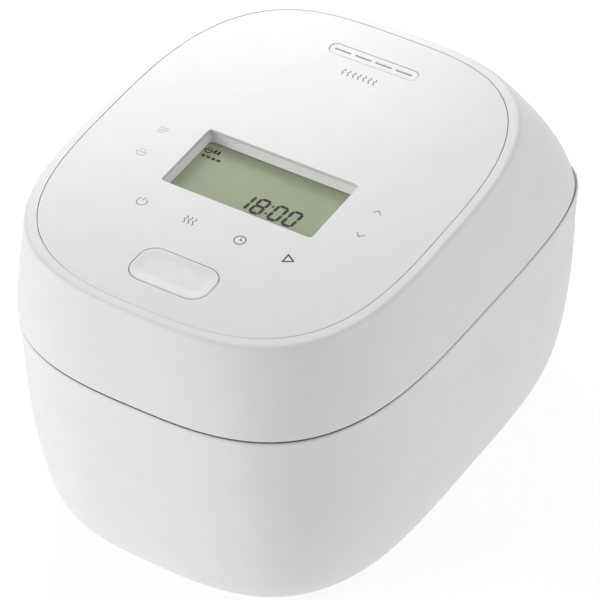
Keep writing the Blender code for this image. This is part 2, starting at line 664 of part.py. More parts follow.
def hinge_lid_half(axis):
    """The lid's hinge arms, and the curved wall that clears the hinge cover."""
    side_view = arc(HINGE_Y, HINGE_Z, KNUCKLE_R, 140, -140, 16)
    side_view += [(129.2, 131.6), (128.2, LINER_Z + LINER_THICK + GAP), (105, LINER_Z + LINER_THICK + GAP),
                  (105, 138), (125, 146)]
    for name, side in (("hinge_arm_left", -1), ("hinge_arm_right", 1)):
        x0, x1 = sorted((ARM_IN * side, ARM_OUT * side))
        arm = slab(name, side_view, x0, x1, "white_plastic", axis)
        cut(arm, round_bar(name + "_bore", BORE_R, x0 - 2, x1 + 2, HINGE_Y, HINGE_Z, sides=16))
    curve = arc(HINGE_Y, HINGE_Z, POCKET_R, 95, 212, 12) + arc(HINGE_Y, HINGE_Z, POCKET_R + 1.5, 212, 95, 12)
    slab("hinge_pocket", curve, -COVER_HALF + GAP, COVER_HALF - GAP, "white_plastic", axis)


def main():
    clear_scene()
    lid = axis_empty("lid_axis", (0.0, HINGE_Y, HINGE_Z))
    button = axis_empty("button_axis", (0.0, BUTTON_Y, panel_z(BUTTON_Y)), lid)
    lever = axis_empty("latch_axis", (0.0, LATCH_Y, LATCH_Z), lid)
    pot = axis_empty("pot_axis", (0.0, POT_Y, POT_BASE_Z))
    sensor_axis = axis_empty("sensor_axis", (0.0, POT_Y, SENSOR_TOP))
    rotor = axis_empty("fan_axis", (FAN_X, FAN_Y, FAN_Z))
    body_shell()
    top_frame()
    base_plate()
    feet()
    base_screws()
    pot_well()
    inner_pot(pot)
    heating()
    sensor(sensor_axis)
    power_section()
    fan(rotor)
    power_inlet()
    hinge()
    lid_shell(lid)
    top_panel(lid)
    display(lid)
    hook_button(lid, button)
    latch(lid, lever)
    lid_liner(lid)
    lid_plates(lid)
    steam_parts(lid)
    hinge_lid_half(lid)


main()
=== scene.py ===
import json
import math

import bmesh
import bpy
from mathutils import Matrix, Vector

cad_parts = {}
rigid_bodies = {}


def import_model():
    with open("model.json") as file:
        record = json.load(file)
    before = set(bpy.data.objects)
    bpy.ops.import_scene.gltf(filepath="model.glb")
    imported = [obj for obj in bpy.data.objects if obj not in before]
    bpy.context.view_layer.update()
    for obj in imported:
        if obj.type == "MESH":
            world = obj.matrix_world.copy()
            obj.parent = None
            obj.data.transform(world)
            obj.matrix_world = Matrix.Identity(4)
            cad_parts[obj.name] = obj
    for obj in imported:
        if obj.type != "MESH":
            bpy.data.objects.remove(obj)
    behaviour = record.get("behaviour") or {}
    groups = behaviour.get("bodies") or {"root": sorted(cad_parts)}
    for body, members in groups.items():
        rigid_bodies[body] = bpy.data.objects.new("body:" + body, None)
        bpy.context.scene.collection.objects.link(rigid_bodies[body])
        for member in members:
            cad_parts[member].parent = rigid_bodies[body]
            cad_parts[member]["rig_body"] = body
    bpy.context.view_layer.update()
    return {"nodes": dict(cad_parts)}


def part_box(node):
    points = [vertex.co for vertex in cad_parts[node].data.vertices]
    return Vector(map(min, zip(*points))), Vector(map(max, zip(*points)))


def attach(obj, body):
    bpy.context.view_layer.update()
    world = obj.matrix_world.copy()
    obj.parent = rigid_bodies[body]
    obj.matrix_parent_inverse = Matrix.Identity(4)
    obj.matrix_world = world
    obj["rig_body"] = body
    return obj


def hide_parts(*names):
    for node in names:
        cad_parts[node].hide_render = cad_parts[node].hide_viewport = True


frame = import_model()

# Lengths are in millimetres and become metres when a mesh is made. +X is the cooker's right side,
# -Y its front and +Z is up. Sizes that the frame gives are read from the CAD nodes' boxes.
MM = 0.001
AROUND = 288


def cad_box(node):
    low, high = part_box(node)
    return low / MM, high / MM


BODY_LOW, BODY_HIGH = cad_box("body_shell")
LID_LOW = cad_box("lid_shell")[0]
PANEL_LOW, PANEL_HIGH = cad_box("top_panel")
BUTTON_LOW, BUTTON_HIGH = cad_box("hook_button")
DECK_LOW, DECK_HIGH = cad_box("top_frame")
POT_LOW, POT_HIGH = cad_box("inner_pot")
WELL_LOW, WELL_HIGH = cad_box("pot_well")
LINER_LOW, LINER_HIGH = cad_box("lid_liner")
SHAFT_LOW, SHAFT_HIGH = cad_box("hinge_shaft")

# Plan outlines are superellipses whose front and rear halves differ.
WAIST_Y = 2.5
WALL = 2.5
FOOT_H = BODY_LOW.z
RIM_Z = BODY_HIGH.z
LID_Z = LID_LOW.z
SEAM_Z = (RIM_Z + LID_Z) / 2
# Inside the rim a shelf lies RIM_STEP down. The rim's edge starts EDGE_LIP in from the seam's outline,
# EDGE_DROP below the rim's full height, and rounds over EDGE_WIDE across and EDGE_HIGH down.
# FOOT_EDGE says how far the foot's two lowest outlines draw in and rise. The strip reach is how far in the
# strip on the shelf reaches; that strip is painted shade, a grey band that darkens the gap under the lid.
RIM_STEP = 2.1
EDGE_DROP = 0.5
EDGE_HIGH = 1.3
EDGE_WIDE = 0.8
EDGE_LIP = 1.0
EDGE_SQUARENESS = 1.3
FOOT_EDGE = ((0.8, 0.0), (0.25, 0.15))
SHADE_STRIP_REACH = 3.1
SHADE_STRIP_THICK = 0.55
UPPER_DEPTH = 22.0
UPPER_TAPER = 0.0463
WIDEST_INSET = UPPER_TAPER * (SEAM_Z - RIM_Z + RIM_STEP)
HALF_WIDTH = BODY_HIGH.x + WIDEST_INSET
FRONT_REACH = WAIST_Y - BODY_LOW.y + WIDEST_INSET
RIM_REACH = BODY_HIGH.y - WAIST_Y + WIDEST_INSET
LID_REACH = RIM_REACH - 6.0
FRONT_POWERS = (2.97, 3.34)
REAR_POWERS = (7.1, 4.32)
LOWER_DEPTH = SEAM_Z - UPPER_DEPTH
LOWER_INSET = 15.7

# The tilted top panel and the sloping frame round it.
SEAM_GAP = 0.4
PANEL_HALF = PANEL_HIGH.x + SEAM_GAP
PANEL_Y = -5.5
PANEL_FRONT = PANEL_Y - PANEL_LOW.y + SEAM_GAP
PANEL_REAR = PANEL_HIGH.y - PANEL_Y + SEAM_GAP
PANEL_FRONT_POWERS = (2.83, 3.53)
PANEL_REAR_POWERS = (3.37, 2.71)
PANEL_THICK = 2.0
PANEL_SLOPE = (PANEL_HIGH.z - PANEL_LOW.z - PANEL_THICK) / (PANEL_HIGH.y - PANEL_LOW.y)
PANEL_AHEAD = 0.25
BEVEL_WIDE = 6.0
BEVEL_DROP = 0.4
LEDGE_DEEP = 2.3
LEDGE_WIDE = 4.0
LID_BOW = 1.5

WINDOW_Y = -28.0
WINDOW = (96.0, 48.0, 2.0)
SCREEN_DEPTH = 8.0
BUTTON_Y = (BUTTON_LOW.y + BUTTON_HIGH.y) / 2
BUTTON = (48.4, 25.6, 9.6)
BUTTON_HOLE = (49.2, 26.4, 10.0)
STEAM_Y = 88.5
STEAM = (57.2, 8.8, 4.3)

POT_Y = (POT_LOW.y + POT_HIGH.y) / 2
HINGE_Y = (SHAFT_LOW.y + SHAFT_HIGH.y) / 2
HINGE_Z = (SHAFT_LOW.z + SHAFT_HIGH.z) / 2
NOTCH_HALF = 63.5
NOTCH_TOP = 152.4
LATCH_Y = -128.0
DECK_SLOT_Y = LATCH_Y - 4.25
LATCH_ROOM_Y = LATCH_Y - 4.5
DUCT_Y = 25.0
LINER_TOP = LINER_HIGH.z
POT_OUTER_R = 89.5
GASKET_INNER_R = 84.3
STEM_LOW = 158.2
STEM_RISE = 20.0
SHAFT_HOLE_R = 3.3
BASE_LOW = cad_box("base_plate")[0]


def middle_of(node):
    low, high = cad_box(node)
    return (low.x + high.x) / 2, (low.y + high.y) / 2


FEET = [middle_of(f"foot_{i}") for i in range(1, 5)]
SCREWS = [middle_of(f"base_screw_{i}") for i in range(1, 5)]

# Finishes by the record's material slots, with a grey for the strip of painted shade inside the rim:
# colour, roughness, metallic, grain size in mm and grain height in mm.
FINISHES = {
    "white_shell": ((0.80, 0.80, 0.80), 0.46, 0.0, 0.35, 0.006),
    "panel_white": ((0.76, 0.76, 0.76), 0.34, 0.0, 0.30, 0.003),
    "deck_grey": ((0.55, 0.55, 0.56), 0.45, 0.0, 0.40, 0.008),
    "base_grey": ((0.42, 0.42, 0.43), 0.60, 0.0, 0.60, 0.020),
    "dark_plastic": ((0.035, 0.035, 0.038), 0.50, 0.0, 0.50, 0.012),
    # grey of the strip of painted shade in the gap under the lid
    "gap_shade_grey": ((0.40, 0.40, 0.405), 0.50, 0.0, 0.40, 0.006),
    "bezel_grey": ((0.86, 0.86, 0.86), 0.50, 0.0, 0.40, 0.004),
    "rubber": ((0.050, 0.050, 0.052), 0.80, 0.0, 0.70, 0.030),
    "silicone": ((0.50, 0.51, 0.52), 0.55, 0.0, 0.80, 0.010),
    "ferrite": ((0.070, 0.070, 0.078), 0.70, 0.0, 0.50, 0.030),
    "board": ((0.030, 0.160, 0.075), 0.45, 0.0, 1.20, 0.020),
    "copper": ((0.72, 0.36, 0.20), 0.38, 1.0, 0.60, 0.010),
    "brass": ((0.72, 0.58, 0.30), 0.32, 1.0, 0.50, 0.004),
}
INKS = {"ink_bold": 0.045, "ink_dark": 0.11, "ink_mid": 0.19, "ink_light": 0.28, "ink_faint": 0.42}
DISPLAY_GREEN = (0.322, 0.365, 0.234)
DISPLAY_WARM = (0.327, 0.368, 0.236)
SEGMENT_DARK = (0.010, 0.014, 0.008)

# Carried-over CAD nodes and the slot that each takes its finish from.
CARRIED = {
    "dark_plastic": ("coil_holder", "sensor_holder", "power_capacitor", "fan_frame", "fan_rotor"),
    "copper": ("coil_inner", "coil_outer", "coil_side"),
    "ferrite": ("ferrite_bar_1", "ferrite_bar_2", "ferrite_bar_3", "ferrite_bar_4"),
    "steel": ("sensor_spring", "hinge_spring", "button_spring", "latch_bracket", "latch_pin"),
    "board": ("power_board", "control_board", "power_relay"),
    "aluminium": ("heat_sink",),
    "silicone": ("lid_heater",),
    "deck_grey": ("button_guide",),
}


# ---- materials

def shader_of(name):
    """A new material, its node tree and its Principled shader."""
    mat = bpy.data.materials.new("fine_" + name)
    mat.use_nodes = True
    tree = mat.node_tree
    return mat, tree, tree.nodes["Principled BSDF"]


def object_coordinates(tree, stretch=(1.0, 1.0, 1.0)):
    coords = tree.nodes.new("ShaderNodeTexCoord")
    mapping = tree.nodes.new("ShaderNodeMapping")
    mapping.inputs["Scale"].default_value = stretch
    tree.links.new(coords.outputs["Object"], mapping.inputs["Vector"])
    return mapping.outputs["Vector"]


def noise(tree, vector, size_mm, detail=3.0, roughness=0.5):
    """Noise whose features are about size_mm across."""
    node = tree.nodes.new("ShaderNodeTexNoise")
    node.inputs["Scale"].default_value = 1.0 / (size_mm * MM)
    node.inputs["Detail"].default_value = detail
    node.inputs["Roughness"].default_value = roughness
    tree.links.new(vector, node.inputs["Vector"])
    return node.outputs["Fac"]


def spread(tree, value, low, high, start=0.3, stop=0.7):
    """The value, which mostly lies between start and stop, spread over low to high."""
    node = tree.nodes.new("ShaderNodeMapRange")
    node.inputs["From Min"].default_value = start
    node.inputs["From Max"].default_value = stop
    node.inputs["To Min"].default_value = low
    node.inputs["To Max"].default_value = high
    tree.links.new(value, node.inputs["Value"])
    return node.outputs["Result"]


def blend_colours(tree, share, first, second):
    node = tree.nodes.new("ShaderNodeMix")
    node.data_type = "RGBA"
    tree.links.new(share, node.inputs["Factor"])
    node.inputs["A"].default_value = (*first, 1.0)
    node.inputs["B"].default_value = (*second, 1.0)
    return node.outputs["Result"]


def bump(tree, shader, height, depth_mm):
    node = tree.nodes.new("ShaderNodeBump")
    node.inputs["Strength"].default_value = 1.0
    node.inputs["Distance"].default_value = depth_mm * MM
    tree.links.new(height, node.inputs["Height"])
    tree.links.new(node.outputs["Normal"], shader.inputs["Normal"])


def tinted(colour, factor):
    return tuple(channel * factor for channel in colour)


def covered(tree, shader, tint, gloss):
    """Links a colour and a roughness to the shader."""
    tree.links.new(tint, shader.inputs["Base Color"])
    tree.links.new(gloss, shader.inputs["Roughness"])


def moulded(name):
    """Moulded or cast material: faint mottling of its colour and gloss over a fine grain."""
    colour, roughness, metallic, grain, depth = FINISHES[name]
    mat, tree, shader = shader_of(name)
    vector = object_coordinates(tree)
    mottle = spread(tree, noise(tree, vector, 22.0), 0.0, 1.0)
    tint = blend_colours(tree, mottle, tinted(colour, 0.985), tinted(colour, 1.01))
    gloss = spread(tree, noise(tree, vector, 3.0), roughness - 0.03, roughness + 0.03)
    covered(tree, shader, tint, gloss)
    bump(tree, shader, noise(tree, vector, grain, 2.0), depth)
    shader.inputs["Metallic"].default_value = metallic
    return mat


def brushed(name, colour, roughness, stretch):
    """Metal with fine scratches that run across the stretched direction."""
    mat, tree, shader = shader_of(name)
    lines = noise(tree, object_coordinates(tree, stretch), 4.0, 5.0, 0.7)
    tint = blend_colours(tree, lines, tinted(colour, 0.93), tinted(colour, 1.05))
    covered(tree, shader, tint, spread(tree, lines, roughness - 0.06, roughness + 0.08))
    bump(tree, shader, lines, 0.006)
    shader.inputs["Metallic"].default_value = 1.0
    return mat


def wound_copper():
    """Coils of fine wire: round ridges about the pot's axis."""
    mat, tree, shader = shader_of("copper")
    vector = object_coordinates(tree)
    shift = tree.nodes.new("ShaderNodeVectorMath")
    shift.operation = "SUBTRACT"
    shift.inputs[1].default_value = (0.0, POT_Y * MM, 0.0)
    tree.links.new(vector, shift.inputs[0])
    wave = tree.nodes.new("ShaderNodeTexWave")
    wave.wave_type = "RINGS"
    wave.rings_direction = "Z"
    wave.inputs["Scale"].default_value = 110.0
    wave.inputs["Distortion"].default_value = 0.4
    tree.links.new(shift.outputs["Vector"], wave.inputs["Vector"])
    ridges = wave.outputs["Fac"]
    tint = blend_colours(tree, ridges, (0.30, 0.12, 0.06), (0.75, 0.37, 0.20))
    covered(tree, shader, tint, spread(tree, ridges, 0.5, 0.34, 0.0, 1.0))
    bump(tree, shader, ridges, 0.5)
    shader.inputs["Metallic"].default_value = 1.0
    return mat


def speckled_coating():
    """Dark non-stick coating with fine pale flecks."""
    mat, tree, shader = shader_of("pot_coating")
    vector = object_coordinates(tree)
    flecks = spread(tree, noise(tree, vector, 0.5, 1.0), 0.0, 1.0, 0.66, 0.72)
    tint = blend_colours(tree, flecks, (0.050, 0.050, 0.054), (0.26, 0.25, 0.23))
    covered(tree, shader, tint, spread(tree, noise(tree, vector, 9.0), 0.30, 0.40))
    bump(tree, shader, noise(tree, vector, 0.9, 2.0), 0.012)
    shader.inputs["Metallic"].default_value = 0.25
    return mat


def display_green():
    """Reflective display: grey-green with slightly warmer patches and a faint grain."""
    mat, tree, shader = shader_of("display")
    vector = object_coordinates(tree)
    patches = spread(tree, noise(tree, vector, 45.0, 0.0), 0.0, 1.0, 0.35, 0.85)
    tint = blend_colours(tree, patches, DISPLAY_GREEN, DISPLAY_WARM)
    covered(tree, shader, tint, spread(tree, noise(tree, vector, 6.0), 0.30, 0.32))
    bump(tree, shader, noise(tree, vector, 0.25, 1.0), 0.0004)
    shader.inputs["Specular IOR Level"].default_value = 0.25
    return mat


def clear_window():
    """Clear plastic that lets nearly all light through, with a trace of haze."""
    mat, tree, shader = shader_of("window_clear")
    vector = object_coordinates(tree)
    tint = blend_colours(tree, noise(tree, vector, 18.0), (0.86, 0.90, 0.86), (0.92, 0.95, 0.92))
    covered(tree, shader, tint, spread(tree, noise(tree, vector, 5.0), 0.05, 0.09))
    shader.inputs["Alpha"].default_value = 0.01
    shader.inputs["IOR"].default_value = 1.49
    return mat


def printed(name, colour):
    """Screen-printed ink, a little uneven."""
    mat, tree, shader = shader_of(name)
    vector = object_coordinates(tree)
    tint = blend_colours(tree, noise(tree, vector, 0.8), tinted(colour, 0.9), tinted(colour, 1.1))
    covered(tree, shader, tint, spread(tree, noise(tree, vector, 0.6), 0.42, 0.56))
    shader.inputs["Specular IOR Level"].default_value = 0.2
    return mat


def soft_silicone(mat):
    """Lets some light into the surface of the seal and the ducts."""
    shader = mat.node_tree.nodes["Principled BSDF"]
    shader.inputs["Subsurface Weight"].default_value = 0.25
    shader.inputs["Subsurface Radius"].default_value = (0.002, 0.002, 0.002)
    return mat


def make_looks():
    looks = {name: moulded(name) for name in FINISHES if name != "copper"}
    looks["copper"] = wound_copper()
    looks["silicone"] = soft_silicone(looks["silicone"])
    looks["steel"] = brushed("steel", (0.60, 0.60, 0.61), 0.28, (1.0, 14.0, 14.0))
    looks["aluminium"] = brushed("aluminium", (0.74, 0.75, 0.76), 0.34, (1.0, 18.0, 1.0))
    looks["pot_coating"] = speckled_coating()
    looks["display"] = display_green()
    looks["window_clear"] = clear_window()
    for name, level in INKS.items():
        looks[name] = printed(name, (level, level, level * 1.02))
    looks["segment"] = printed("segment", SEGMENT_DARK)
    return looks


# ---- outlines

def half_powered(t, half, front, rear, front_powers, rear_powers):
    """The point at parameter t of an outline whose front and rear halves are superellipses."""
    c, s = math.cos(t), math.sin(t)
    power_x, power_y = front_powers if s < 0 else rear_powers
    reach = front if s < 0 else rear
    x = math.copysign(abs(c) ** (2.0 / power_x), c) * half
    y = math.copysign(abs(s) ** (2.0 / power_y), s) * reach
    return x, y


def body_point(t, inset=0.0, rear=RIM_REACH):
    x, y = half_powered(t, HALF_WIDTH - inset, FRONT_REACH - inset, rear - inset, FRONT_POWERS, REAR_POWERS)
    return x, y + WAIST_Y


def outline_turns(count):
    """Parameters that space an outline's points evenly, with more of them where it curves."""
    fine = [math.tau * (i / 6000) for i in range(6001)]
    spots = [Vector(body_point(t)) for t in fine]
    weight = [0.0]
    for i in range(1, len(spots)):
        step = spots[i] - spots[i - 1]
        ahead = spots[min(i + 1, len(spots) - 1)] - spots[i]
        turned_by = step.angle(ahead, 0.0) if step.length > 1e-9 and ahead.length > 1e-9 else 0.0
        weight.append(weight[-1] + step.length + 45.0 * turned_by)
    turns = []
    i = 0
    for k in range(count):
        goal = weight[-1] * k / count
        while weight[i + 1] < goal:
            i += 1
        share = (goal - weight[i]) / (weight[i + 1] - weight[i])
        turns.append(fine[i] + (fine[i + 1] - fine[i]) * share)
    return turns


TURNS = outline_turns(AROUND)


def body_plan(inset=0.0, rear=RIM_REACH):
    return [body_point(t, inset, rear) for t in TURNS]


def panel_plan(grow=0.0, ahead=0.0):
    shape = [half_powered(t, PANEL_HALF + grow, PANEL_FRONT + grow + ahead, PANEL_REAR + grow,
                          PANEL_FRONT_POWERS, PANEL_REAR_POWERS) for t in TURNS]
    return [(x, y + PANEL_Y) for x, y in shape]


def panel_z(y, depth=0.0):
    return PANEL_HIGH.z + PANEL_SLOPE * (y - PANEL_HIGH.y) - depth


def below_panel(depth):
    return lambda y: panel_z(y, depth)


def body_inset(z):
    """How far the body's outside has drawn in at a height."""
    depth = SEAM_Z - z
    if depth <= UPPER_DEPTH:
        return UPPER_TAPER * depth
    rise = min(1.0, (depth - UPPER_DEPTH) / LOWER_DEPTH)
    return UPPER_TAPER * UPPER_DEPTH + LOWER_INSET * (1.0 - math.sqrt(1.0 - rise * rise))


def circle(radius, centre=(0.0, 0.0), sides=160):
    return [(centre[0] + radius * math.cos(math.tau * i / sides),
             centre[1] + radius * math.sin(math.tau * i / sides)) for i in range(sides)]


def rounded(width, depth, radius, centre=(0.0, 0.0), steps=14):
    """A rectangle with round corners."""
    plan = []
    for quarter, (sx, sy) in enumerate(((1, 1), (-1, 1), (-1, -1), (1, -1))):
        cx = centre[0] + sx * (width / 2 - radius)
        cy = centre[1] + sy * (depth / 2 - radius)
        for i in range(steps):
            turn = (quarter + i / (steps - 1)) * math.pi / 2
            plan.append((cx + radius * math.cos(turn), cy + radius * math.sin(turn)))
    return plan


def grown(width, depth, radius, centre):
    """The outline of a rounded rectangle as a function of how far it has grown."""
    return lambda grow: rounded(width + 2 * grow, depth + 2 * grow, radius + grow, centre)


def disc(radius, centre, sides=160):
    return lambda grow: circle(radius + grow, centre, sides)


def ring(plan, z):
    """The plan at a height, which may be a function of y."""
    return [(x, y, z(y) if callable(z) else z) for x, y in plan]


def lowered(z, drop):
    """A height, or a function that gives one, moved down."""
    if callable(z):
        return lambda y: z(y) - drop
    return z - drop


def arc(cy, cz, radius, start, stop, steps):
    """Points on an arc between two angles in degrees."""
    turns = [math.radians(start + (stop - start) * i / steps) for i in range(steps + 1)]
    return [(cy + radius * math.cos(t), cz + radius * math.sin(t)) for t in turns]


# ---- meshes

def join_rings(bm, rings, loop=False):
    """Closed rings of equal length joined in order. Gives their vertices."""
    made = [[bm.verts.new(Vector(p) * MM) for p in points] for points in rings]
    uppers = made[1:] + made[:1] if loop else made[1:]
    for low, high in zip(made, uppers):
        for j in range(len(low)):
            k = (j + 1) % len(low)
            bm.faces.new((low[j], low[k], high[k], high[j]))
    return made


def cap(bm, *loops):
    """A flat face whose edge is the first loop of vertices and whose holes are the others."""
    edges = []
    for loop in loops:
        for a, b in zip(loop, loop[1:] + loop[:1]):
            edges.append(bm.edges.get((a, b)) or bm.edges.new((a, b)))
    bmesh.ops.triangle_fill(bm, use_beauty=True, use_dissolve=False, edges=edges)


def loft(rings, loop=False):
    """Rings joined in order; a loop joins the last to the first, else both ends are closed."""
    bm = bmesh.new()
    made = join_rings(bm, rings, loop)
    if not loop:
        bm.faces.new(made[0])
        bm.faces.new(made[-1])
    return bm


def quarter_turn(steps):
    """Angles from 0 to 90 degrees."""
    return [math.pi / 2 * i / steps for i in range(steps + 1)]


def eased_rings(outline, low, high, top_fillet, foot_fillet):
    """Rings up a wall from low to high whose two ends are rounded over."""
    rings = []
    if foot_fillet:
        for a in quarter_turn(5):
            plan = outline(-foot_fillet * (1 - math.sin(a)))
            rings.append(ring(plan, lowered(low, -foot_fillet * (1 - math.cos(a)))))
    else:
        rings.append(ring(outline(0.0), low))
    if top_fillet:
        for a in quarter_turn(5):
            plan = outline(-top_fillet * (1 - math.cos(a)))
            rings.append(ring(plan, lowered(high, top_fillet * (1 - math.sin(a)))))
    else:
        rings.append(ring(outline(0.0), high))
    return rings


def plate(outline, low, high, top=0.3, foot=0.0, holes=()):
    """A flat plate with holes through it; outlines are functions of how far they have grown."""
    bm = bmesh.new()
    walls = [join_rings(bm, eased_rings(outline, low, high, top, foot))]
    for hole in holes:
        walls.append(join_rings(bm, eased_rings(lambda grow, h=hole: h(-grow), low, high, top, foot)))
    cap(bm, *[wall[-1] for wall in walls])
    cap(bm, *[wall[0] for wall in walls])
    return bm


def turned(profile, centre=(0.0, 0.0), loop=True, sides=160):
    """A profile of (radius, z) points turned about a vertical axis."""
    return loft([ring(circle(r, centre, sides), z) for r, z in profile], loop)


def slab(side_view, x0, x1):
    """A shape drawn from the side, as (y, z) points, and given a width along X."""
    return loft([[(x, y, z) for y, z in side_view] for x in (x0, x1)])


def block(x0, x1, y0, y1, z0, z1):
    return slab([(y0, z0), (y1, z0), (y1, z1), (y0, z1)], x0, x1)


def upright(plan, low, high):
    return loft([ring(plan, low), ring(plan, high)])


def as_object(name, bm):
    bmesh.ops.recalc_face_normals(bm, faces=bm.faces)
    mesh = bpy.data.meshes.new(name)
    bm.to_mesh(mesh)
    bm.free()
    obj = bpy.data.objects.new(name, mesh)
    bpy.context.scene.collection.objects.link(obj)
    return obj


def combined(operation, bm, tools):
    """The shape after a Boolean with each tool."""
    obj = as_object("whole", bm)
    others = []
    for tool in tools:
        other = as_object("tool", tool)
        modifier = obj.modifiers.new("combine", "BOOLEAN")
        modifier.operation = operation
        modifier.object = other
        others.append(other)
    result = bmesh.new()
    result.from_object(obj, bpy.context.evaluated_depsgraph_get())
    bmesh.ops.remove_doubles(result, verts=result.verts, dist=1e-6)
    for used in [obj, *others]:
        bpy.data.objects.remove(used, do_unlink=True)
    return result


def carved(bm, *tools):
    return combined("DIFFERENCE", bm, tools)


def piece(name, bm, look, body, bevel=0.0):
    """A shown piece that moves with a body."""
    obj = as_object(name, bm)
    obj.data.shade_smooth()
    obj.data.set_sharp_from_angle(angle=math.radians(40))
    obj.data.materials.append(LOOKS[look])
    if bevel:
        rounding = obj.modifiers.new("round_edges", "BEVEL")
        rounding.width = bevel * MM
        rounding.segments = 3
        rounding.limit_method = "ANGLE"
        rounding.angle_limit = math.radians(40)
        rounding.harden_normals = False
    weighted = obj.modifiers.new("flat_faces_stay_flat", "WEIGHTED_NORMAL")
    weighted.keep_sharp = not bevel
    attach(obj, body)
    return obj


def skin(node, bm, look, bevel=0.0):
    """A finely meshed piece that is shown in place of a CAD node."""
    obj = piece(node + "_skin", bm, look, frame["nodes"][node]["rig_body"], bevel)
    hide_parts(node)
    return obj


LOOKS = make_looks()


# ---- body

def body_levels():
    """Heights from the foot to near the rim, closer together where the body turns in."""
    lower = 36
    last = math.asin((SEAM_Z - FOOT_H - UPPER_DEPTH) / LOWER_DEPTH)
    levels = [SEAM_Z - UPPER_DEPTH - LOWER_DEPTH * math.sin(last * i / lower) for i in range(lower, 0, -1)]
    return levels + [SEAM_Z - UPPER_DEPTH + 4.6 * i for i in range(5)]


def body_shell():
    """Outer shell, open at the top: a rounded rim, a shelf inside it and a window for the mains inlet."""
    levels = body_levels()
    edge, shelf = RIM_Z - EDGE_DROP, RIM_Z - RIM_STEP
    outside = [ring(body_plan(body_inset(FOOT_H) + inset), FOOT_H + rise) for inset, rise in FOOT_EDGE]
    outside += [ring(body_plan(body_inset(z)), z) for z in levels[1:]]
    for a in quarter_turn(8):
        z = edge - EDGE_HIGH * (1 - math.sin(a) ** EDGE_SQUARENESS)
        inset = body_inset(z) + EDGE_WIDE * (1 - math.cos(a) ** EDGE_SQUARENESS)
        outside.append(ring(body_plan(inset), z))
    inside = [ring(body_plan(EDGE_LIP), edge - 0.1), ring(body_plan(EDGE_LIP), shelf)]
    inner_levels = [shelf] + [z for z in reversed(levels) if z < shelf - 1][::3] + [FOOT_H]
    inside += [ring(body_plan(body_inset(z) + WALL), z) for z in inner_levels]
    inlet_low, inlet_high = cad_box("power_inlet")
    window = block(inlet_low.x - 0.3, inlet_high.x + 0.3, inlet_low.y, inlet_low.y + 40, inlet_low.z - 0.3,
                   inlet_high.z + 0.3)
    skin("body_shell", carved(loft(outside + inside, loop=True), window), "white_shell")


def gap_shade_strip():
    """Thin grey strip on the shelf inside the rim, seen through the gap under the lid: painted shade that
    makes the gap look dark.
    """
    outer, low = EDGE_LIP + 0.05, RIM_Z - RIM_STEP + 0.05
    high = low + SHADE_STRIP_THICK
    corners = ((outer, low), (outer, high), (SHADE_STRIP_REACH, high), (SHADE_STRIP_REACH, low))
    strip = [ring(body_plan(inset), z) for inset, z in corners]
    piece("gap_shade_strip", loft(strip, loop=True), "gap_shade_grey", "base")


def top_frame():
    """Deck between the body's rim and the pot, with a collar that drops to the pot's flange."""
    pot = (0.0, POT_Y)
    opening_r, collar_r, fillet = 97.5, 101.0, 1.2
    under = DECK_HIGH.z - 3.0
    slot = grown(18.0, 10.5, 1.5, (0.0, DECK_SLOT_Y))
    bm = bmesh.new()
    outer = join_rings(bm, eased_rings(lambda grow: body_plan(3.2 - grow), under, DECK_HIGH.z, 0.4, 0.0))
    drop = [ring(circle(opening_r + fillet * (1 - math.sin(a)), pot),
                 DECK_HIGH.z - fillet * (1 - math.cos(a))) for a in quarter_turn(6)]
    collar = drop + [ring(circle(opening_r, pot), DECK_LOW.z), ring(circle(collar_r, pot), DECK_LOW.z),
                     ring(circle(collar_r, pot), under)]
    inner = join_rings(bm, collar)
    edge = join_rings(bm, eased_rings(lambda grow: slot(-grow), under, DECK_HIGH.z, 0.4, 0.0))
    cap(bm, outer[-1], inner[0], edge[-1])
    cap(bm, outer[0], inner[-1], edge[0])
    skin("top_frame", bm, "deck_grey")


def base_plate():
    """Flat plate that closes the body from below, with air slots and holes for the feet and the screws."""
    low, high = BASE_LOW.z, BASE_LOW.z + 3.0
    fan_low, fan_high = cad_box("fan_frame")
    fan_x, fan_y = (fan_low.x + fan_high.x) / 2, (fan_low.y + fan_high.y) / 2
    holes = []
    for i in range(5):
        x = fan_x - 20 + 10 * i
        holes.append(grown(4.0, 40.0, 1.95, (x, fan_y)))
        holes.append(grown(4.0, 40.0, 1.95, (x - 96, fan_y)))
    for x, y in FEET:
        holes.append(disc(3.3, (x, y), 32))
    for x, y in SCREWS:
        holes.append(disc(4.2, (x, y), 32))

    def outer(grow):
        return body_plan(body_inset(FOOT_H) + WALL + 0.6 - grow)

    skin("base_plate", plate(outer, low, high, 0.3, 0.3, holes), "base_grey")


def feet():
    """Rubber feet with a rounded sole and a stem through the base plate."""
    top = FOOT_H - 0.3
    profile = [(0.01, 0.0)] + arc(7.7, 0.8, 0.8, -90, 0, 5)
    profile += [(8.5, top - 0.3), (8.2, top), (3.0, top), (3.0, 5.6)]
    for i, (x, y) in enumerate(FEET, 1):
        skin(f"foot_{i}", turned(profile, (x, y), loop=False, sides=64), "rubber")


def base_screws():
    """Screws whose domed heads have a cross slot."""
    head = [(2.4, 2.7), (3.2, 2.8), (3.7, 3.1), (3.8, 3.4), (3.8, 4.0)]
    stem = [(1.6, 4.0), (1.6, 15.0), (0.8, 16.0)]
    for i, (x, y) in enumerate(SCREWS, 1):
        screw = carved(turned(head + stem, (x, y), loop=False, sides=40),
                       block(x - 1.9, x + 1.9, y - 0.35, y + 0.35, 2.0, 3.5),
                       block(x - 0.35, x + 0.35, y - 1.9, y + 1.9, 2.0, 3.5))
        skin(f"base_screw_{i}", screw, "steel")


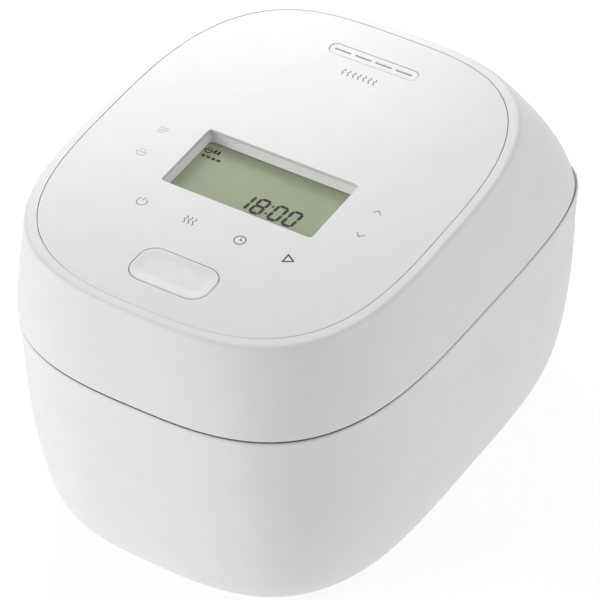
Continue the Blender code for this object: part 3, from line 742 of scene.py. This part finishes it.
def power_inlet():
    """Socket for a detachable mains lead, with its two pins."""
    low, high = cad_box("power_inlet")
    x, z = (low.x + high.x) / 2, (low.z + high.z) / 2
    tools = [block(x - 14, x + 14, low.y + 4, high.y + 10, z - 10, z + 10)]
    for pin_x in (x - 6.5, x + 6.5):
        tools.append(block(pin_x - 1.5, pin_x + 1.5, low.y - 5, low.y + 6, z - 3.3, z + 3.3))
    housing = block(low.x, high.x, low.y, high.y, low.z, high.z)
    skin("power_inlet", carved(housing, *tools), "dark_plastic", 0.6)
    for i in (1, 2):
        low, high = cad_box(f"inlet_pin_{i}")
        skin(f"inlet_pin_{i}", block(low.x, high.x, low.y, high.y, low.z, high.z), "brass", 0.5)


def bowl(radius, corner, base_z, top_z):
    """Half section of a bowl, from its flat bottom up its side."""
    return arc(radius - corner, base_z + corner, corner, -90, 0, 16) + [(radius, top_z)]


def pot_well():
    """Bowl round the pot, with a lip at its top and a hole in its bottom for the sensor."""
    wall, inner_r, lip_r = 2.5, 91.5, WELL_HIGH.x
    top = WELL_HIGH.z
    floor = WELL_LOW.z + wall
    inside = bowl(inner_r, 20.0, floor, top - 1.5) + arc(inner_r + 1.5, top - 1.5, 1.5, 180, 90, 5)[1:]
    outside = bowl(inner_r + wall, 22.5, WELL_LOW.z, top - wall)
    lip = [(lip_r - 0.4, top), (lip_r, top - 0.4), (lip_r, top - wall)]
    hole = [(17.0, WELL_LOW.z), (17.0, floor - 0.5), (17.5, floor)]
    skin("pot_well", turned(hole + inside + lip + outside[::-1], (0.0, POT_Y)), "dark_plastic")


def inner_pot():
    """Pot with a rolled rim; pale marks on its wall stand for the water levels."""
    wall, corner = 2.0, 19.5
    outer_r = POT_OUTER_R
    under_flange = POT_HIGH.z - wall
    outside = bowl(outer_r, corner, POT_LOW.z, under_flange - 1.2)
    outside += arc(outer_r + 1.2, under_flange - 1.2, 1.2, 180, 90, 5)[1:]
    roll = arc(POT_HIGH.x - wall / 2, under_flange + wall / 2, wall / 2, -90, 90, 10)
    inner_r = outer_r - wall
    mouth = arc(inner_r + 1.6, POT_HIGH.z - 1.6, 1.6, 90, 180, 6)
    inside = bowl(inner_r, corner - wall, POT_LOW.z + wall, POT_HIGH.z - 2.0)
    profile = outside + roll + mouth + inside[::-1][1:]
    skin("inner_pot", turned(profile, (0.0, POT_Y), loop=False), "pot_coating")
    for i in range(6):
        z = POT_LOW.z + 24.0 + 11.0 * i
        half = math.radians(4.5 if i % 2 else 7.5)
        tick = [(inner_r - 0.06) * Vector((math.sin(a), math.cos(a))) for a in
                (math.pi - half + 2 * half * k / 12 for k in range(13))]
        inner = [p * (1 - 0.1 / inner_r) for p in reversed(tick)]
        plan = [(p.x, p.y + POT_Y) for p in tick + inner]
        piece(f"level_mark_{i + 1}", upright(plan, z, z + 0.9), "ink_faint", "pot")


def sensor():
    """Sprung temperature sensor under the pot."""
    low, high = cad_box("bottom_sensor")
    profile = [(9.0, low.z), (9.0, low.z + 11.0), (12.6, low.z + 11.2), (13.0, low.z + 11.5)]
    profile += arc(12.4, high.z - 0.6, 0.6, 0, 90, 5) + [(6.0, high.z - 0.15), (5.5, high.z - 0.02)]
    skin("bottom_sensor", turned(profile, (0.0, POT_Y), loop=False, sides=96), "aluminium")


# ---- hinge and latch

def shaft_circle(radius, sides):
    """A circle about the hinge's axis, seen from the side."""
    return circle(radius, (HINGE_Y, HINGE_Z), sides)


def hinge_cover():
    """Fixed cover over the hinge, hollow below, with the shaft's hole through it."""
    cover_low, cover_high = cad_box("hinge_cover")
    radius = cover_high.z - HINGE_Z
    foot = cover_low.z
    view = [(HINGE_Y + 8, foot)] + arc(HINGE_Y, HINGE_Z, radius, -40, 220, 48) + [(HINGE_Y - 8, foot)]
    inner_r = 8.4
    hollow = [(HINGE_Y + inner_r, foot - 2)] + arc(HINGE_Y, HINGE_Z, inner_r, 0, 180, 24)
    hollow += [(HINGE_Y - inner_r, foot - 2)]
    cover = carved(slab(view, cover_low.x, cover_high.x), slab(hollow, -38, 38),
                   slab(shaft_circle(SHAFT_HOLE_R, 40), -60, 60))
    skin("hinge_cover", cover, "white_shell", 0.6)


def hinge_shaft():
    shaft_r = (SHAFT_HIGH.z - SHAFT_LOW.z) / 2
    skin("hinge_shaft", slab(shaft_circle(shaft_r, 48), SHAFT_LOW.x, SHAFT_HIGH.x), "steel", 0.4)


def hinge_arms():
    """The lid's two arms, each with a knuckle on the shaft."""
    knuckle_r, liner_top = 10.0, LINER_TOP + 0.3
    view = arc(HINGE_Y, HINGE_Z, knuckle_r, 140, -140, 48)
    view += [(129.2, 131.6), (128.2, liner_top), (105, liner_top), (105, 138), (125, 146)]
    for node in ("hinge_arm_left", "hinge_arm_right"):
        low, high = cad_box(node)
        hole = slab(shaft_circle(SHAFT_HOLE_R, 40), low.x - 2, high.x + 2)
        skin(node, carved(slab(view, low.x, high.x), hole), "white_shell", 0.6)


def hinge_pocket():
    """The lid's curved wall, which clears the cover as the lid opens."""
    low, high = cad_box("hinge_pocket")
    inner_r = 12.5
    curve = arc(HINGE_Y, HINGE_Z, inner_r, 95, 212, 40) + arc(HINGE_Y, HINGE_Z, inner_r + 1.5, 212, 95, 40)
    skin("hinge_pocket", slab(curve, low.x, high.x), "white_shell")


def latch():
    """Lever whose hook passes through the deck."""
    low, high = cad_box("latch_hook")
    pin_low, pin_high = cad_box("latch_pin")
    y, z = (pin_low.y + pin_high.y) / 2, (pin_low.z + pin_high.z) / 2
    toe = low.z
    lever = [(y - 4, z - 26), (y - 3.5, toe + 0.5), (y - 1.5, toe), (y + 0.6, toe + 3.5),
             (y - 0.3, toe + 4.2), (y - 0.5, z - 8), (y + 5, z - 3), (y + 24, z + 5.5), (y + 24, z + 9.5),
             (y + 12, z + 9.5), (y - 1, z + 6), (y - 5, z + 3), (y - 5, z - 6)]
    hook = carved(slab(lever, low.x, high.x), slab(circle(2.3, (y, z), 32), low.x - 2, high.x + 2))
    skin("latch_hook", hook, "steel", 0.35)


# ---- lid

def lid_point(base, top, share):
    """A point of the lid's side, part of the way up; the side bows out a little."""
    across = share ** LID_BOW
    return (base[0] + (top[0] - base[0]) * across, base[1] + (top[1] - base[1]) * across,
            base[2] + (top[2] - base[2]) * share)


def lid_ring(base, top, share):
    return [lid_point(b, t, share) for b, t in zip(base, top)]


def between(first, second, share):
    return [tuple(a + (b - a) * share for a, b in zip(p, q)) for p, q in zip(first, second)]


def curve_through(first, corner, last, steps):
    """Rings on a quadratic curve from the first ring to the last that is drawn towards the corner."""
    rings = []
    for i in range(steps + 1):
        u = i / steps
        rings.append(between(between(first, corner, u), between(corner, last, u), u))
    return rings


def lid_shell():
    """Lid's outside: a leaning side that rounds over into a flat sloping frame with a ledge for the panel."""
    base = ring(body_plan(0.0, LID_REACH), LID_Z)
    shoulder = ring(panel_plan(BEVEL_WIDE), below_panel(BEVEL_DROP))
    seam = ring(panel_plan(), below_panel(0.0))
    lip = [ring(body_plan(0.7, LID_REACH), LID_Z), ring(body_plan(0.2, LID_REACH), LID_Z + 0.2)]
    shares = (0.012, 0.06, 0.12, 0.2, 0.3, 0.4, 0.5, 0.6, 0.7, 0.8, 0.88)
    side = [lid_ring(base, shoulder, share) for share in shares]
    top_round = curve_through(lid_ring(base, shoulder, 0.955), shoulder, between(shoulder, seam, 0.34), 12)
    frame_edge = [between(shoulder, seam, 0.93), ring(panel_plan(0.06), below_panel(0.06)),
                  ring(panel_plan(), below_panel(0.3))]
    ledge = [ring(panel_plan(), below_panel(LEDGE_DEEP)),
             ring(panel_plan(-LEDGE_WIDE), below_panel(LEDGE_DEEP)),
             ring(panel_plan(-LEDGE_WIDE), below_panel(LEDGE_DEEP + 2.0))]
    inner_base = ring(body_plan(WALL, LID_REACH), LID_Z)
    inner_top = ring(panel_plan(BEVEL_WIDE - WALL), below_panel(BEVEL_DROP + 4.5))
    inside = [lid_ring(inner_base, inner_top, share) for share in (1.0, 0.75, 0.5, 0.25, 0.0)]
    shell = loft(lip + side + top_round + frame_edge + ledge + inside, loop=True)
    notch = block(-NOTCH_HALF, NOTCH_HALF, 122, 165, 120, NOTCH_TOP)
    skin("lid_shell", carved(shell, notch), "white_shell")


def top_panel():
    """Flat sheet with openings for the window, the button and the steam outlet."""
    openings = ((WINDOW, WINDOW_Y), (BUTTON_HOLE, BUTTON_Y), (STEAM, STEAM_Y))
    holes = [grown(*size, (0.0, y)) for size, y in openings]

    def outer(grow):
        return panel_plan(grow - SEAM_GAP, PANEL_AHEAD)

    panel = plate(outer, below_panel(PANEL_THICK), below_panel(0.0), 0.35, 0.0, holes)
    skin("top_panel", panel, "panel_white")


def window_lens():
    """Clear window, set a little below the panel's face."""
    width, depth, radius = WINDOW
    outline = grown(width - 0.6, depth - 0.6, radius, (0.0, WINDOW_Y))
    skin("window_lens", plate(outline, below_panel(1.7), below_panel(0.15), 0.3), "window_clear")


def lcd_bezel():
    """Frame below the window, whose opening narrows towards the display."""
    width, depth, radius = WINDOW
    centre = (0.0, WINDOW_Y)
    low, high = below_panel(SCREEN_DEPTH - 0.3), below_panel(PANEL_THICK + 0.3)
    mouth = grown(width + 0.4, depth + 0.4, radius, centre)
    throat = grown(width - 0.8, depth - 1.1, radius, (0.6, WINDOW_Y - 0.75))
    outer = rounded(width + 6, depth + 6, radius + 1, centre)
    rings = [ring(outer, low), ring(outer, high), ring(mouth(0.5), high),
             ring(mouth(0.1), lowered(high, 0.15)), ring(mouth(0.0), lowered(high, 0.6)),
             ring(throat(0.0), lowered(low, -0.4)), ring(throat(0.4), low)]
    skin("lcd_bezel", loft(rings, loop=True), "bezel_grey")


def lcd_module():
    width, depth = WINDOW[:2]
    screen = grown(width + 8, depth + 6, 2.0, (0.0, WINDOW_Y))
    module = plate(screen, below_panel(SCREEN_DEPTH + 3.5), below_panel(SCREEN_DEPTH), 0.2)
    skin("lcd_module", module, "display")


def hook_button():
    """Latch button: a rounded plate, slightly dished, on a stem."""
    outline = grown(*BUTTON, (0.0, BUTTON_Y))
    foot, fillet, dish, dish_wide = 6.0, 0.5, 0.35, 6.8
    rings = [ring(outline(-0.3), below_panel(foot)), ring(outline(0.0), below_panel(foot - 0.3))]
    for a in quarter_turn(8):
        rings.append(ring(outline(-fillet * (1 - math.cos(a))), below_panel(fillet * (1 - math.sin(a)))))
    for i in range(1, 9):
        share = i / 8
        depth = dish * math.sin(math.pi / 2 * share) ** 2
        rings.append(ring(outline(-fillet - dish_wide * share), below_panel(depth)))
    plate_part = loft(rings)
    stem = [(2.5, STEM_LOW), (4.0, STEM_LOW + 2), (4.0, BUTTON_LOW.z + STEM_RISE)]
    whole = combined("UNION", plate_part, [turned(stem, (0.0, BUTTON_Y), loop=False, sides=48)])
    skin("hook_button", whole, "panel_white")


def steam_grille():
    """Slotted outlet in the panel."""
    width, depth, radius = STEAM
    outline = grown(width - 0.5, depth - 0.5, radius - 0.25, (0.0, STEAM_Y))
    slits = [grown(10.5, 1.1, 0.5, (13.2 * (i - 1.5), STEAM_Y)) for i in range(4)]
    skin("steam_grille", plate(outline, below_panel(3.0), below_panel(0.2), 0.35, 0.0, slits), "panel_white")


def steam_duct():
    """Duct from the inner lid back and up to the outlet: its place, height, width and depth at each bend."""
    places = ((DUCT_Y, 125.8, 30, 16), (DUCT_Y, 137.0, 30, 16), (STEAM_Y, below_panel(16.0), 55, 11),
              (STEAM_Y, below_panel(3.4), 55, 11))
    outside = [ring(rounded(w, d, d / 2 - 0.1, (0, y)), z) for y, z, w, d in places]
    inside = [ring(rounded(w - 4, d - 4, d / 2 - 2.1, (0, y)), z) for y, z, w, d in reversed(places)]
    skin("steam_duct", loft(outside + inside, loop=True), "silicone")


POT_MIDDLE = (0.0, POT_Y)
DUCT_HOLE = grown(34.0, 20.0, 9.9, (0.0, DUCT_Y))


def lid_liner():
    """Floor of the lid, with openings for the duct and the latch, and a collar round the seal."""
    low, high = LINER_TOP - 2.2, LINER_TOP
    shape = [half_powered(t, HALF_WIDTH - 3.5, FRONT_REACH - 3.5, LID_REACH - 4.5, FRONT_POWERS, REAR_POWERS)
             for t in TURNS]
    plan = [(x, y + WAIST_Y) for x, y in shape]
    hook = grown(18.0, 13.0, 1.5, (0.0, LATCH_ROOM_Y))
    liner = bmesh.new()
    outer = join_rings(liner, [ring(plan, low), ring(plan, high)])
    holes = (DUCT_HOLE(0.0), hook(0.0))
    openings = [join_rings(liner, [ring(hole, low), ring(hole, high)]) for hole in holes]
    wall = [(95.0 + 3.0, low), (96.9, low - 0.3), (96.5, low - 1.0), (96.5, LINER_LOW.z + 0.6),
            (95.9, LINER_LOW.z), (92.6, LINER_LOW.z), (92.0, LINER_LOW.z + 0.6), (92.0, low)]
    collar = join_rings(liner, [ring(circle(r, POT_MIDDLE), z) for r, z in wall])
    cap(liner, outer[1], openings[0][1], openings[1][1])
    cap(liner, outer[0], collar[0], openings[1][0])
    cap(liner, collar[-1], openings[0][0])
    skin("lid_liner", carved(liner, block(-NOTCH_HALF, NOTCH_HALF, 127.6, 160, 120, 140)), "deck_grey")


def heater_plate():
    low, high = cad_box("heater_plate")
    plan = disc(high.x, POT_MIDDLE)
    skin("heater_plate", plate(plan, low.z, high.z, 0.2, 0.2, [DUCT_HOLE]), "aluminium")


def inner_lid():
    """Pressed sheet with a raised ring and edge, and a slot for the steam."""
    high = cad_box("inner_lid")[1]
    edge_r = high.x
    under = [(0.01, 122.9), (8.0, 122.9), (9.5, 122.6), (60.0, 122.6), (61.5, 123.1), (64.5, 123.1)]
    under += [(66.0, 122.6), (76.0, 122.6), (78.5, 122.9), (edge_r - 0.4, 123.3), (edge_r, 123.7)]
    over = [(edge_r, high.z - 0.3), (edge_r - 0.3, high.z), (edge_r - 1.0, high.z), (78.5, 124.4)]
    over += [(76.0, 124.1), (66.5, 124.1), (65.0, 124.4), (61.0, 124.4), (59.5, 124.1), (0.01, 124.1)]
    slot = upright(rounded(24.0, 10.0, 4.9, (0.0, DUCT_Y)), 110, 140)
    sheet = turned(under + over, POT_MIDDLE, loop=False, sides=200)
    skin("inner_lid", carved(sheet, slot), "aluminium")


def lid_gasket():
    """Seal round the inner lid, above the pot's rim."""
    low, high = cad_box("lid_gasket")
    inner_r, outer_r = GASKET_INNER_R, high.x
    under = [(inner_r, 123.0), (84.9, 122.5), (87.4, low.z + 0.1), (88.0, low.z), (92.6, low.z)]
    under += [(93.1, low.z + 0.2), (outer_r - 0.3, 123.2), (outer_r, 123.8)]
    over = [(outer_r, high.z - 0.4), (outer_r - 0.4, high.z)]
    over += [(inner_r + 0.3, high.z), (inner_r, high.z - 0.3)]
    skin("lid_gasket", turned(under + over, POT_MIDDLE, sides=200), "silicone")


# ---- printed marks and display segments

def stroke(bm, points, width, surface, height, closed):
    """A flat line of ink along a route of (x, y) points."""
    spots = [Vector(p) for p in points]
    count = len(spots)
    left, right = [], []
    for i, spot in enumerate(spots):
        before = spots[i - 1] if closed or i > 0 else None
        after = spots[(i + 1) % count] if closed or i < count - 1 else None
        into = (spot - before).normalized() if before is not None else (after - spot).normalized()
        out = (after - spot).normalized() if after is not None else into
        middle = (into + out).normalized()
        across = Vector((-middle.y, middle.x)) * width / 2 / max(0.5, middle.dot(into))
        left.append(spot + across)
        right.append(spot - across)
    if closed:
        top = lowered(surface, -height)
        rings = [ring(left, surface), ring(left, top), ring(right, top), ring(right, surface)]
        join_rings(bm, rings, loop=True)
    else:
        blob(bm, left + right[::-1], surface, height)


def blob(bm, outline, surface, height):
    """A flat patch of ink with the given outline."""
    made = join_rings(bm, [ring(outline, surface), ring(outline, lowered(surface, -height))])
    cap(bm, made[0])
    cap(bm, made[1])


def moved(points, x, y, size=1.0):
    return [(x + px * size, y + py * size) for px, py in points]


def bow(radius, start, stop, steps=14):
    return arc(0.0, 0.0, radius, start, stop, steps)


# Pictograms as strokes (open or closed routes) about their own middle, 5 mm tall or less.
LIST_SIGN = (([(-2.4, 1.6), (2.4, 1.6)], False), ([(-2.4, 0.0), (2.4, 0.0)], False),
             ([(-2.4, -1.6), (1.0, -1.6)], False))
BOWL_SIGN = ((bow(2.4, 180, 360), True), ([(-1.0, 1.0), (-1.0, 2.2)], False),
             ([(1.0, 1.0), (1.0, 2.2)], False))
CLOCK_SIGN = ((bow(2.3, 0, 348, 24), True), ([(0.0, 1.4), (0.0, 0.0), (1.2, 0.0)], False))
POWER_SIGN = ((bow(2.1, 125, 415, 20), False), ([(0.0, 0.6), (0.0, 2.6)], False))
START_SIGN = (([(-1.5, 2.1), (2.1, 0.0), (-1.5, -2.1)], True),)


def waves(places):
    return tuple(([(x + 0.45 * math.sin(k * 0.7), -2.1 + 0.3 * k) for k in range(15)], False) for x in places)


HEAT_SIGN = waves((-1.9, 0.0, 1.9))
STEAM_SIGN = waves((-8.4, -5.6, -2.8, 0.0, 2.8, 5.6, 8.4))
UP_SIGN = (([(-2.1, -1.1), (0.0, 1.1), (2.1, -1.1)], False),)
DOWN_SIGN = (([(-2.1, 1.1), (0.0, -1.1), (2.1, 1.1)], False),)


def sign(name, strokes, x, y, look, size, width=0.6):
    bm = bmesh.new()
    for points, closed in strokes:
        stroke(bm, moved(points, x, y, size), width, below_panel(0.0), 0.04, closed)
    piece(name, bm, look, "lid")


def key_marks():
    """Generic pictograms where the touch keys are."""
    sign("mark_menu", LIST_SIGN, -70.0, -17.8, "ink_faint", 1.2, 0.5)
    sign("mark_grain", BOWL_SIGN, -70.0, -38.3, "ink_faint", 1.2, 0.5)
    sign("mark_up", UP_SIGN, 68.2, -17.5, "ink_mid", 1.15, 0.55)
    sign("mark_down", DOWN_SIGN, 69.3, -37.6, "ink_mid", 1.15, 0.55)
    sign("mark_off", POWER_SIGN, -46.8, -71.9, "ink_light", 1.4)
    sign("mark_warm", HEAT_SIGN, -15.9, -71.9, "ink_mid", 1.4)
    sign("mark_timer", CLOCK_SIGN, 16.1, -71.9, "ink_dark", 1.4)
    sign("mark_start", START_SIGN, 46.8, -71.9, "ink_bold", 1.4, 0.9)
    sign("mark_steam", STEAM_SIGN, 0.0, 73.0, "ink_mid", 1.2)


# Segments of a digit as ends on a grid 1 wide and 2 tall: top, middle, bottom, then the four uprights.
SEGMENTS = {
    "top": ((0, 2), (1, 2)), "middle": ((0, 1), (1, 1)), "bottom": ((0, 0), (1, 0)),
    "upper_left": ((0, 1), (0, 2)), "upper_right": ((1, 1), (1, 2)),
    "lower_left": ((0, 0), (0, 1)), "lower_right": ((1, 0), (1, 1)),
}
DIGITS = {
    "1": ("upper_right", "lower_right"),
    "8": tuple(SEGMENTS),
    "0": tuple(name for name in SEGMENTS if name != "middle"),
}
DIGIT_WIDE, DIGIT_TALL, DIGIT_LEAN, SEGMENT_THICK = 5.7, 11.6, 0.1, 1.75
DIGIT_FOOT_Y = -42.5


def leaned(x, y, origin_x):
    return origin_x + x + DIGIT_LEAN * y, DIGIT_FOOT_Y + y


def segment(bm, ends, origin_x, surface):
    """A long hexagon between two corners of the digit's grid."""
    a, b = [Vector((p[0] * DIGIT_WIDE, p[1] * DIGIT_TALL / 2)) for p in ends]
    along = (b - a).normalized()
    across = Vector((-along.y, along.x)) * SEGMENT_THICK / 2
    gap = 0.12
    a, b = a + along * gap, b - along * gap
    nose = along * SEGMENT_THICK / 2
    corners = [a, a + nose + across, b - nose + across, b, b - nose - across, a + nose - across]
    blob(bm, [leaned(p.x, p.y, origin_x) for p in corners], surface, 0.12)


def time_shown():
    """A clock reading and two rows of small signs on the display."""
    surface = below_panel(SCREEN_DEPTH)
    bm = bmesh.new()
    for digit, x in (("1", -7.0), ("8", 2.25), ("0", 13.5), ("0", 22.75)):
        for name in DIGITS[digit]:
            segment(bm, SEGMENTS[name], x, surface)
    for x, y in ((10.95, 2.8), (10.95, 9.2)):
        cx, cy = leaned(x, y, 0.0)
        blob(bm, rounded(1.3, 1.3, 0.3, (cx, cy), 4), surface, 0.12)
    piece("shown_time", bm, "segment", "lid")
    bm = bmesh.new()
    for points, closed in BOWL_SIGN:
        stroke(bm, moved(points, -44.2, -11.2, 0.95), 0.7, surface, 0.1, closed)
    for i in range(2):
        blob(bm, rounded(1.5, 3.2, 0.3, (-40.2 + 2.3 * i, -11.0), 4), surface, 0.1)
    for i in range(4):
        blob(bm, rounded(2.3, 1.7, 0.3, (-44.6 + 3.3 * i, -16.4), 4), surface, 0.1)
    piece("shown_signs", bm, "segment", "lid")


# ---- surroundings

CAMERA_TARGET = (0.0134, -0.0118, 0.1065)
CAMERA_DISTANCE = 1.9607
CAMERA_AZIMUTH = 33.53
CAMERA_ELEVATION = 40.35
CAMERA_ROLL = -0.0244
CAMERA_LENS = 212.0

WORLD_LEVEL = 0.02
FLOOR_GLOW = 0.81
# Each lamp: azimuth from the front towards +X and elevation in degrees, distance and side in metres,
# and power in watts.
LAMPS = {
    "front_left": (315.0, 20.0, 2.6, 1.4, 38.0),
    "front_right": (35.0, 20.0, 2.6, 1.4, 7.0),
    "right": (90.0, 20.0, 2.6, 1.4, 6.0),
    "rear": (190.0, 35.0, 0.85, 0.6, 0.75),
    "rear_right": (135.0, 50.0, 2.6, 1.4, 20.0),
    "above": (0.0, 90.0, 2.6, 1.4, 14.5),
    "rear_left": (226.0, 32.0, 0.72, 0.45, 3.0),
}


def from_target(azimuth, elevation, distance):
    """A place seen from the middle of the floor, by angles in degrees from the front and from level."""
    a, e = math.radians(azimuth), math.radians(elevation)
    return Vector((math.sin(a) * math.cos(e), -math.cos(a) * math.cos(e), math.sin(e))) * distance


def camera():
    out = from_target(CAMERA_AZIMUTH, CAMERA_ELEVATION, 1.0)
    data = bpy.data.cameras.new("camera")
    data.lens = CAMERA_LENS
    data.sensor_width = 36.0
    obj = bpy.data.objects.new("camera", data)
    obj.location = Vector(CAMERA_TARGET) + out * CAMERA_DISTANCE
    turn = (-out).to_track_quat("-Z", "Y").to_matrix() @ Matrix.Rotation(CAMERA_ROLL, 3, "Z")
    obj.rotation_euler = turn.to_euler()
    bpy.context.scene.collection.objects.link(obj)
    bpy.context.scene.camera = obj


def lamps():
    for name, (azimuth, elevation, distance, side, power) in LAMPS.items():
        out = from_target(azimuth, elevation, distance)
        data = bpy.data.lights.new(name, "AREA")
        data.shape = "SQUARE"
        data.size = side
        data.energy = power
        obj = bpy.data.objects.new(name, data)
        obj.location = out + Vector((0.0, 0.0, 0.1))
        obj.rotation_euler = (-out).to_track_quat("-Z", "Y").to_euler()
        bpy.context.scene.collection.objects.link(obj)


def white_room():
    world = bpy.data.worlds.new("white_room")
    world.use_nodes = True
    world.node_tree.nodes["Background"].inputs["Color"].default_value = (1.0, 1.0, 1.0, 1.0)
    world.node_tree.nodes["Background"].inputs["Strength"].default_value = WORLD_LEVEL
    bpy.context.scene.world = world
    bpy.context.scene.view_settings.view_transform = "Standard"


def floor_disc():
    """A round pale floor, lit from within so that it stays white round the soft shadow."""
    mat, tree, shader = shader_of("floor")
    vector = object_coordinates(tree)
    tint = blend_colours(tree, noise(tree, vector, 300.0), (0.24, 0.24, 0.24), (0.26, 0.26, 0.26))
    covered(tree, shader, tint, spread(tree, noise(tree, vector, 200.0), 0.88, 0.94))
    shader.inputs["Specular IOR Level"].default_value = 0.0
    shader.inputs["Emission Color"].default_value = (1.0, 1.0, 1.0, 1.0)
    shader.inputs["Emission Strength"].default_value = FLOOR_GLOW
    bm = bmesh.new()
    made = join_rings(bm, [ring(circle(6000.0 * share, sides=64), 0.0) for share in (0.02, 0.2, 1.0)])
    bm.faces.new(made[0])
    floor = as_object("floor", bm)
    floor.data.materials.append(mat)


def carried_nodes():
    for look, nodes in CARRIED.items():
        for node in nodes:
            materials = frame["nodes"][node].data.materials
            materials.clear()
            materials.append(LOOKS[look])


def main():
    body_shell()
    gap_shade_strip()
    top_frame()
    base_plate()
    feet()
    base_screws()
    power_inlet()
    pot_well()
    inner_pot()
    sensor()
    hinge_cover()
    hinge_shaft()
    hinge_arms()
    hinge_pocket()
    latch()
    lid_shell()
    top_panel()
    window_lens()
    lcd_bezel()
    lcd_module()
    hook_button()
    steam_grille()
    steam_duct()
    lid_liner()
    heater_plate()
    inner_lid()
    lid_gasket()
    key_marks()
    time_shown()
    carried_nodes()
    camera()
    lamps()
    white_room()
    floor_disc()


main()
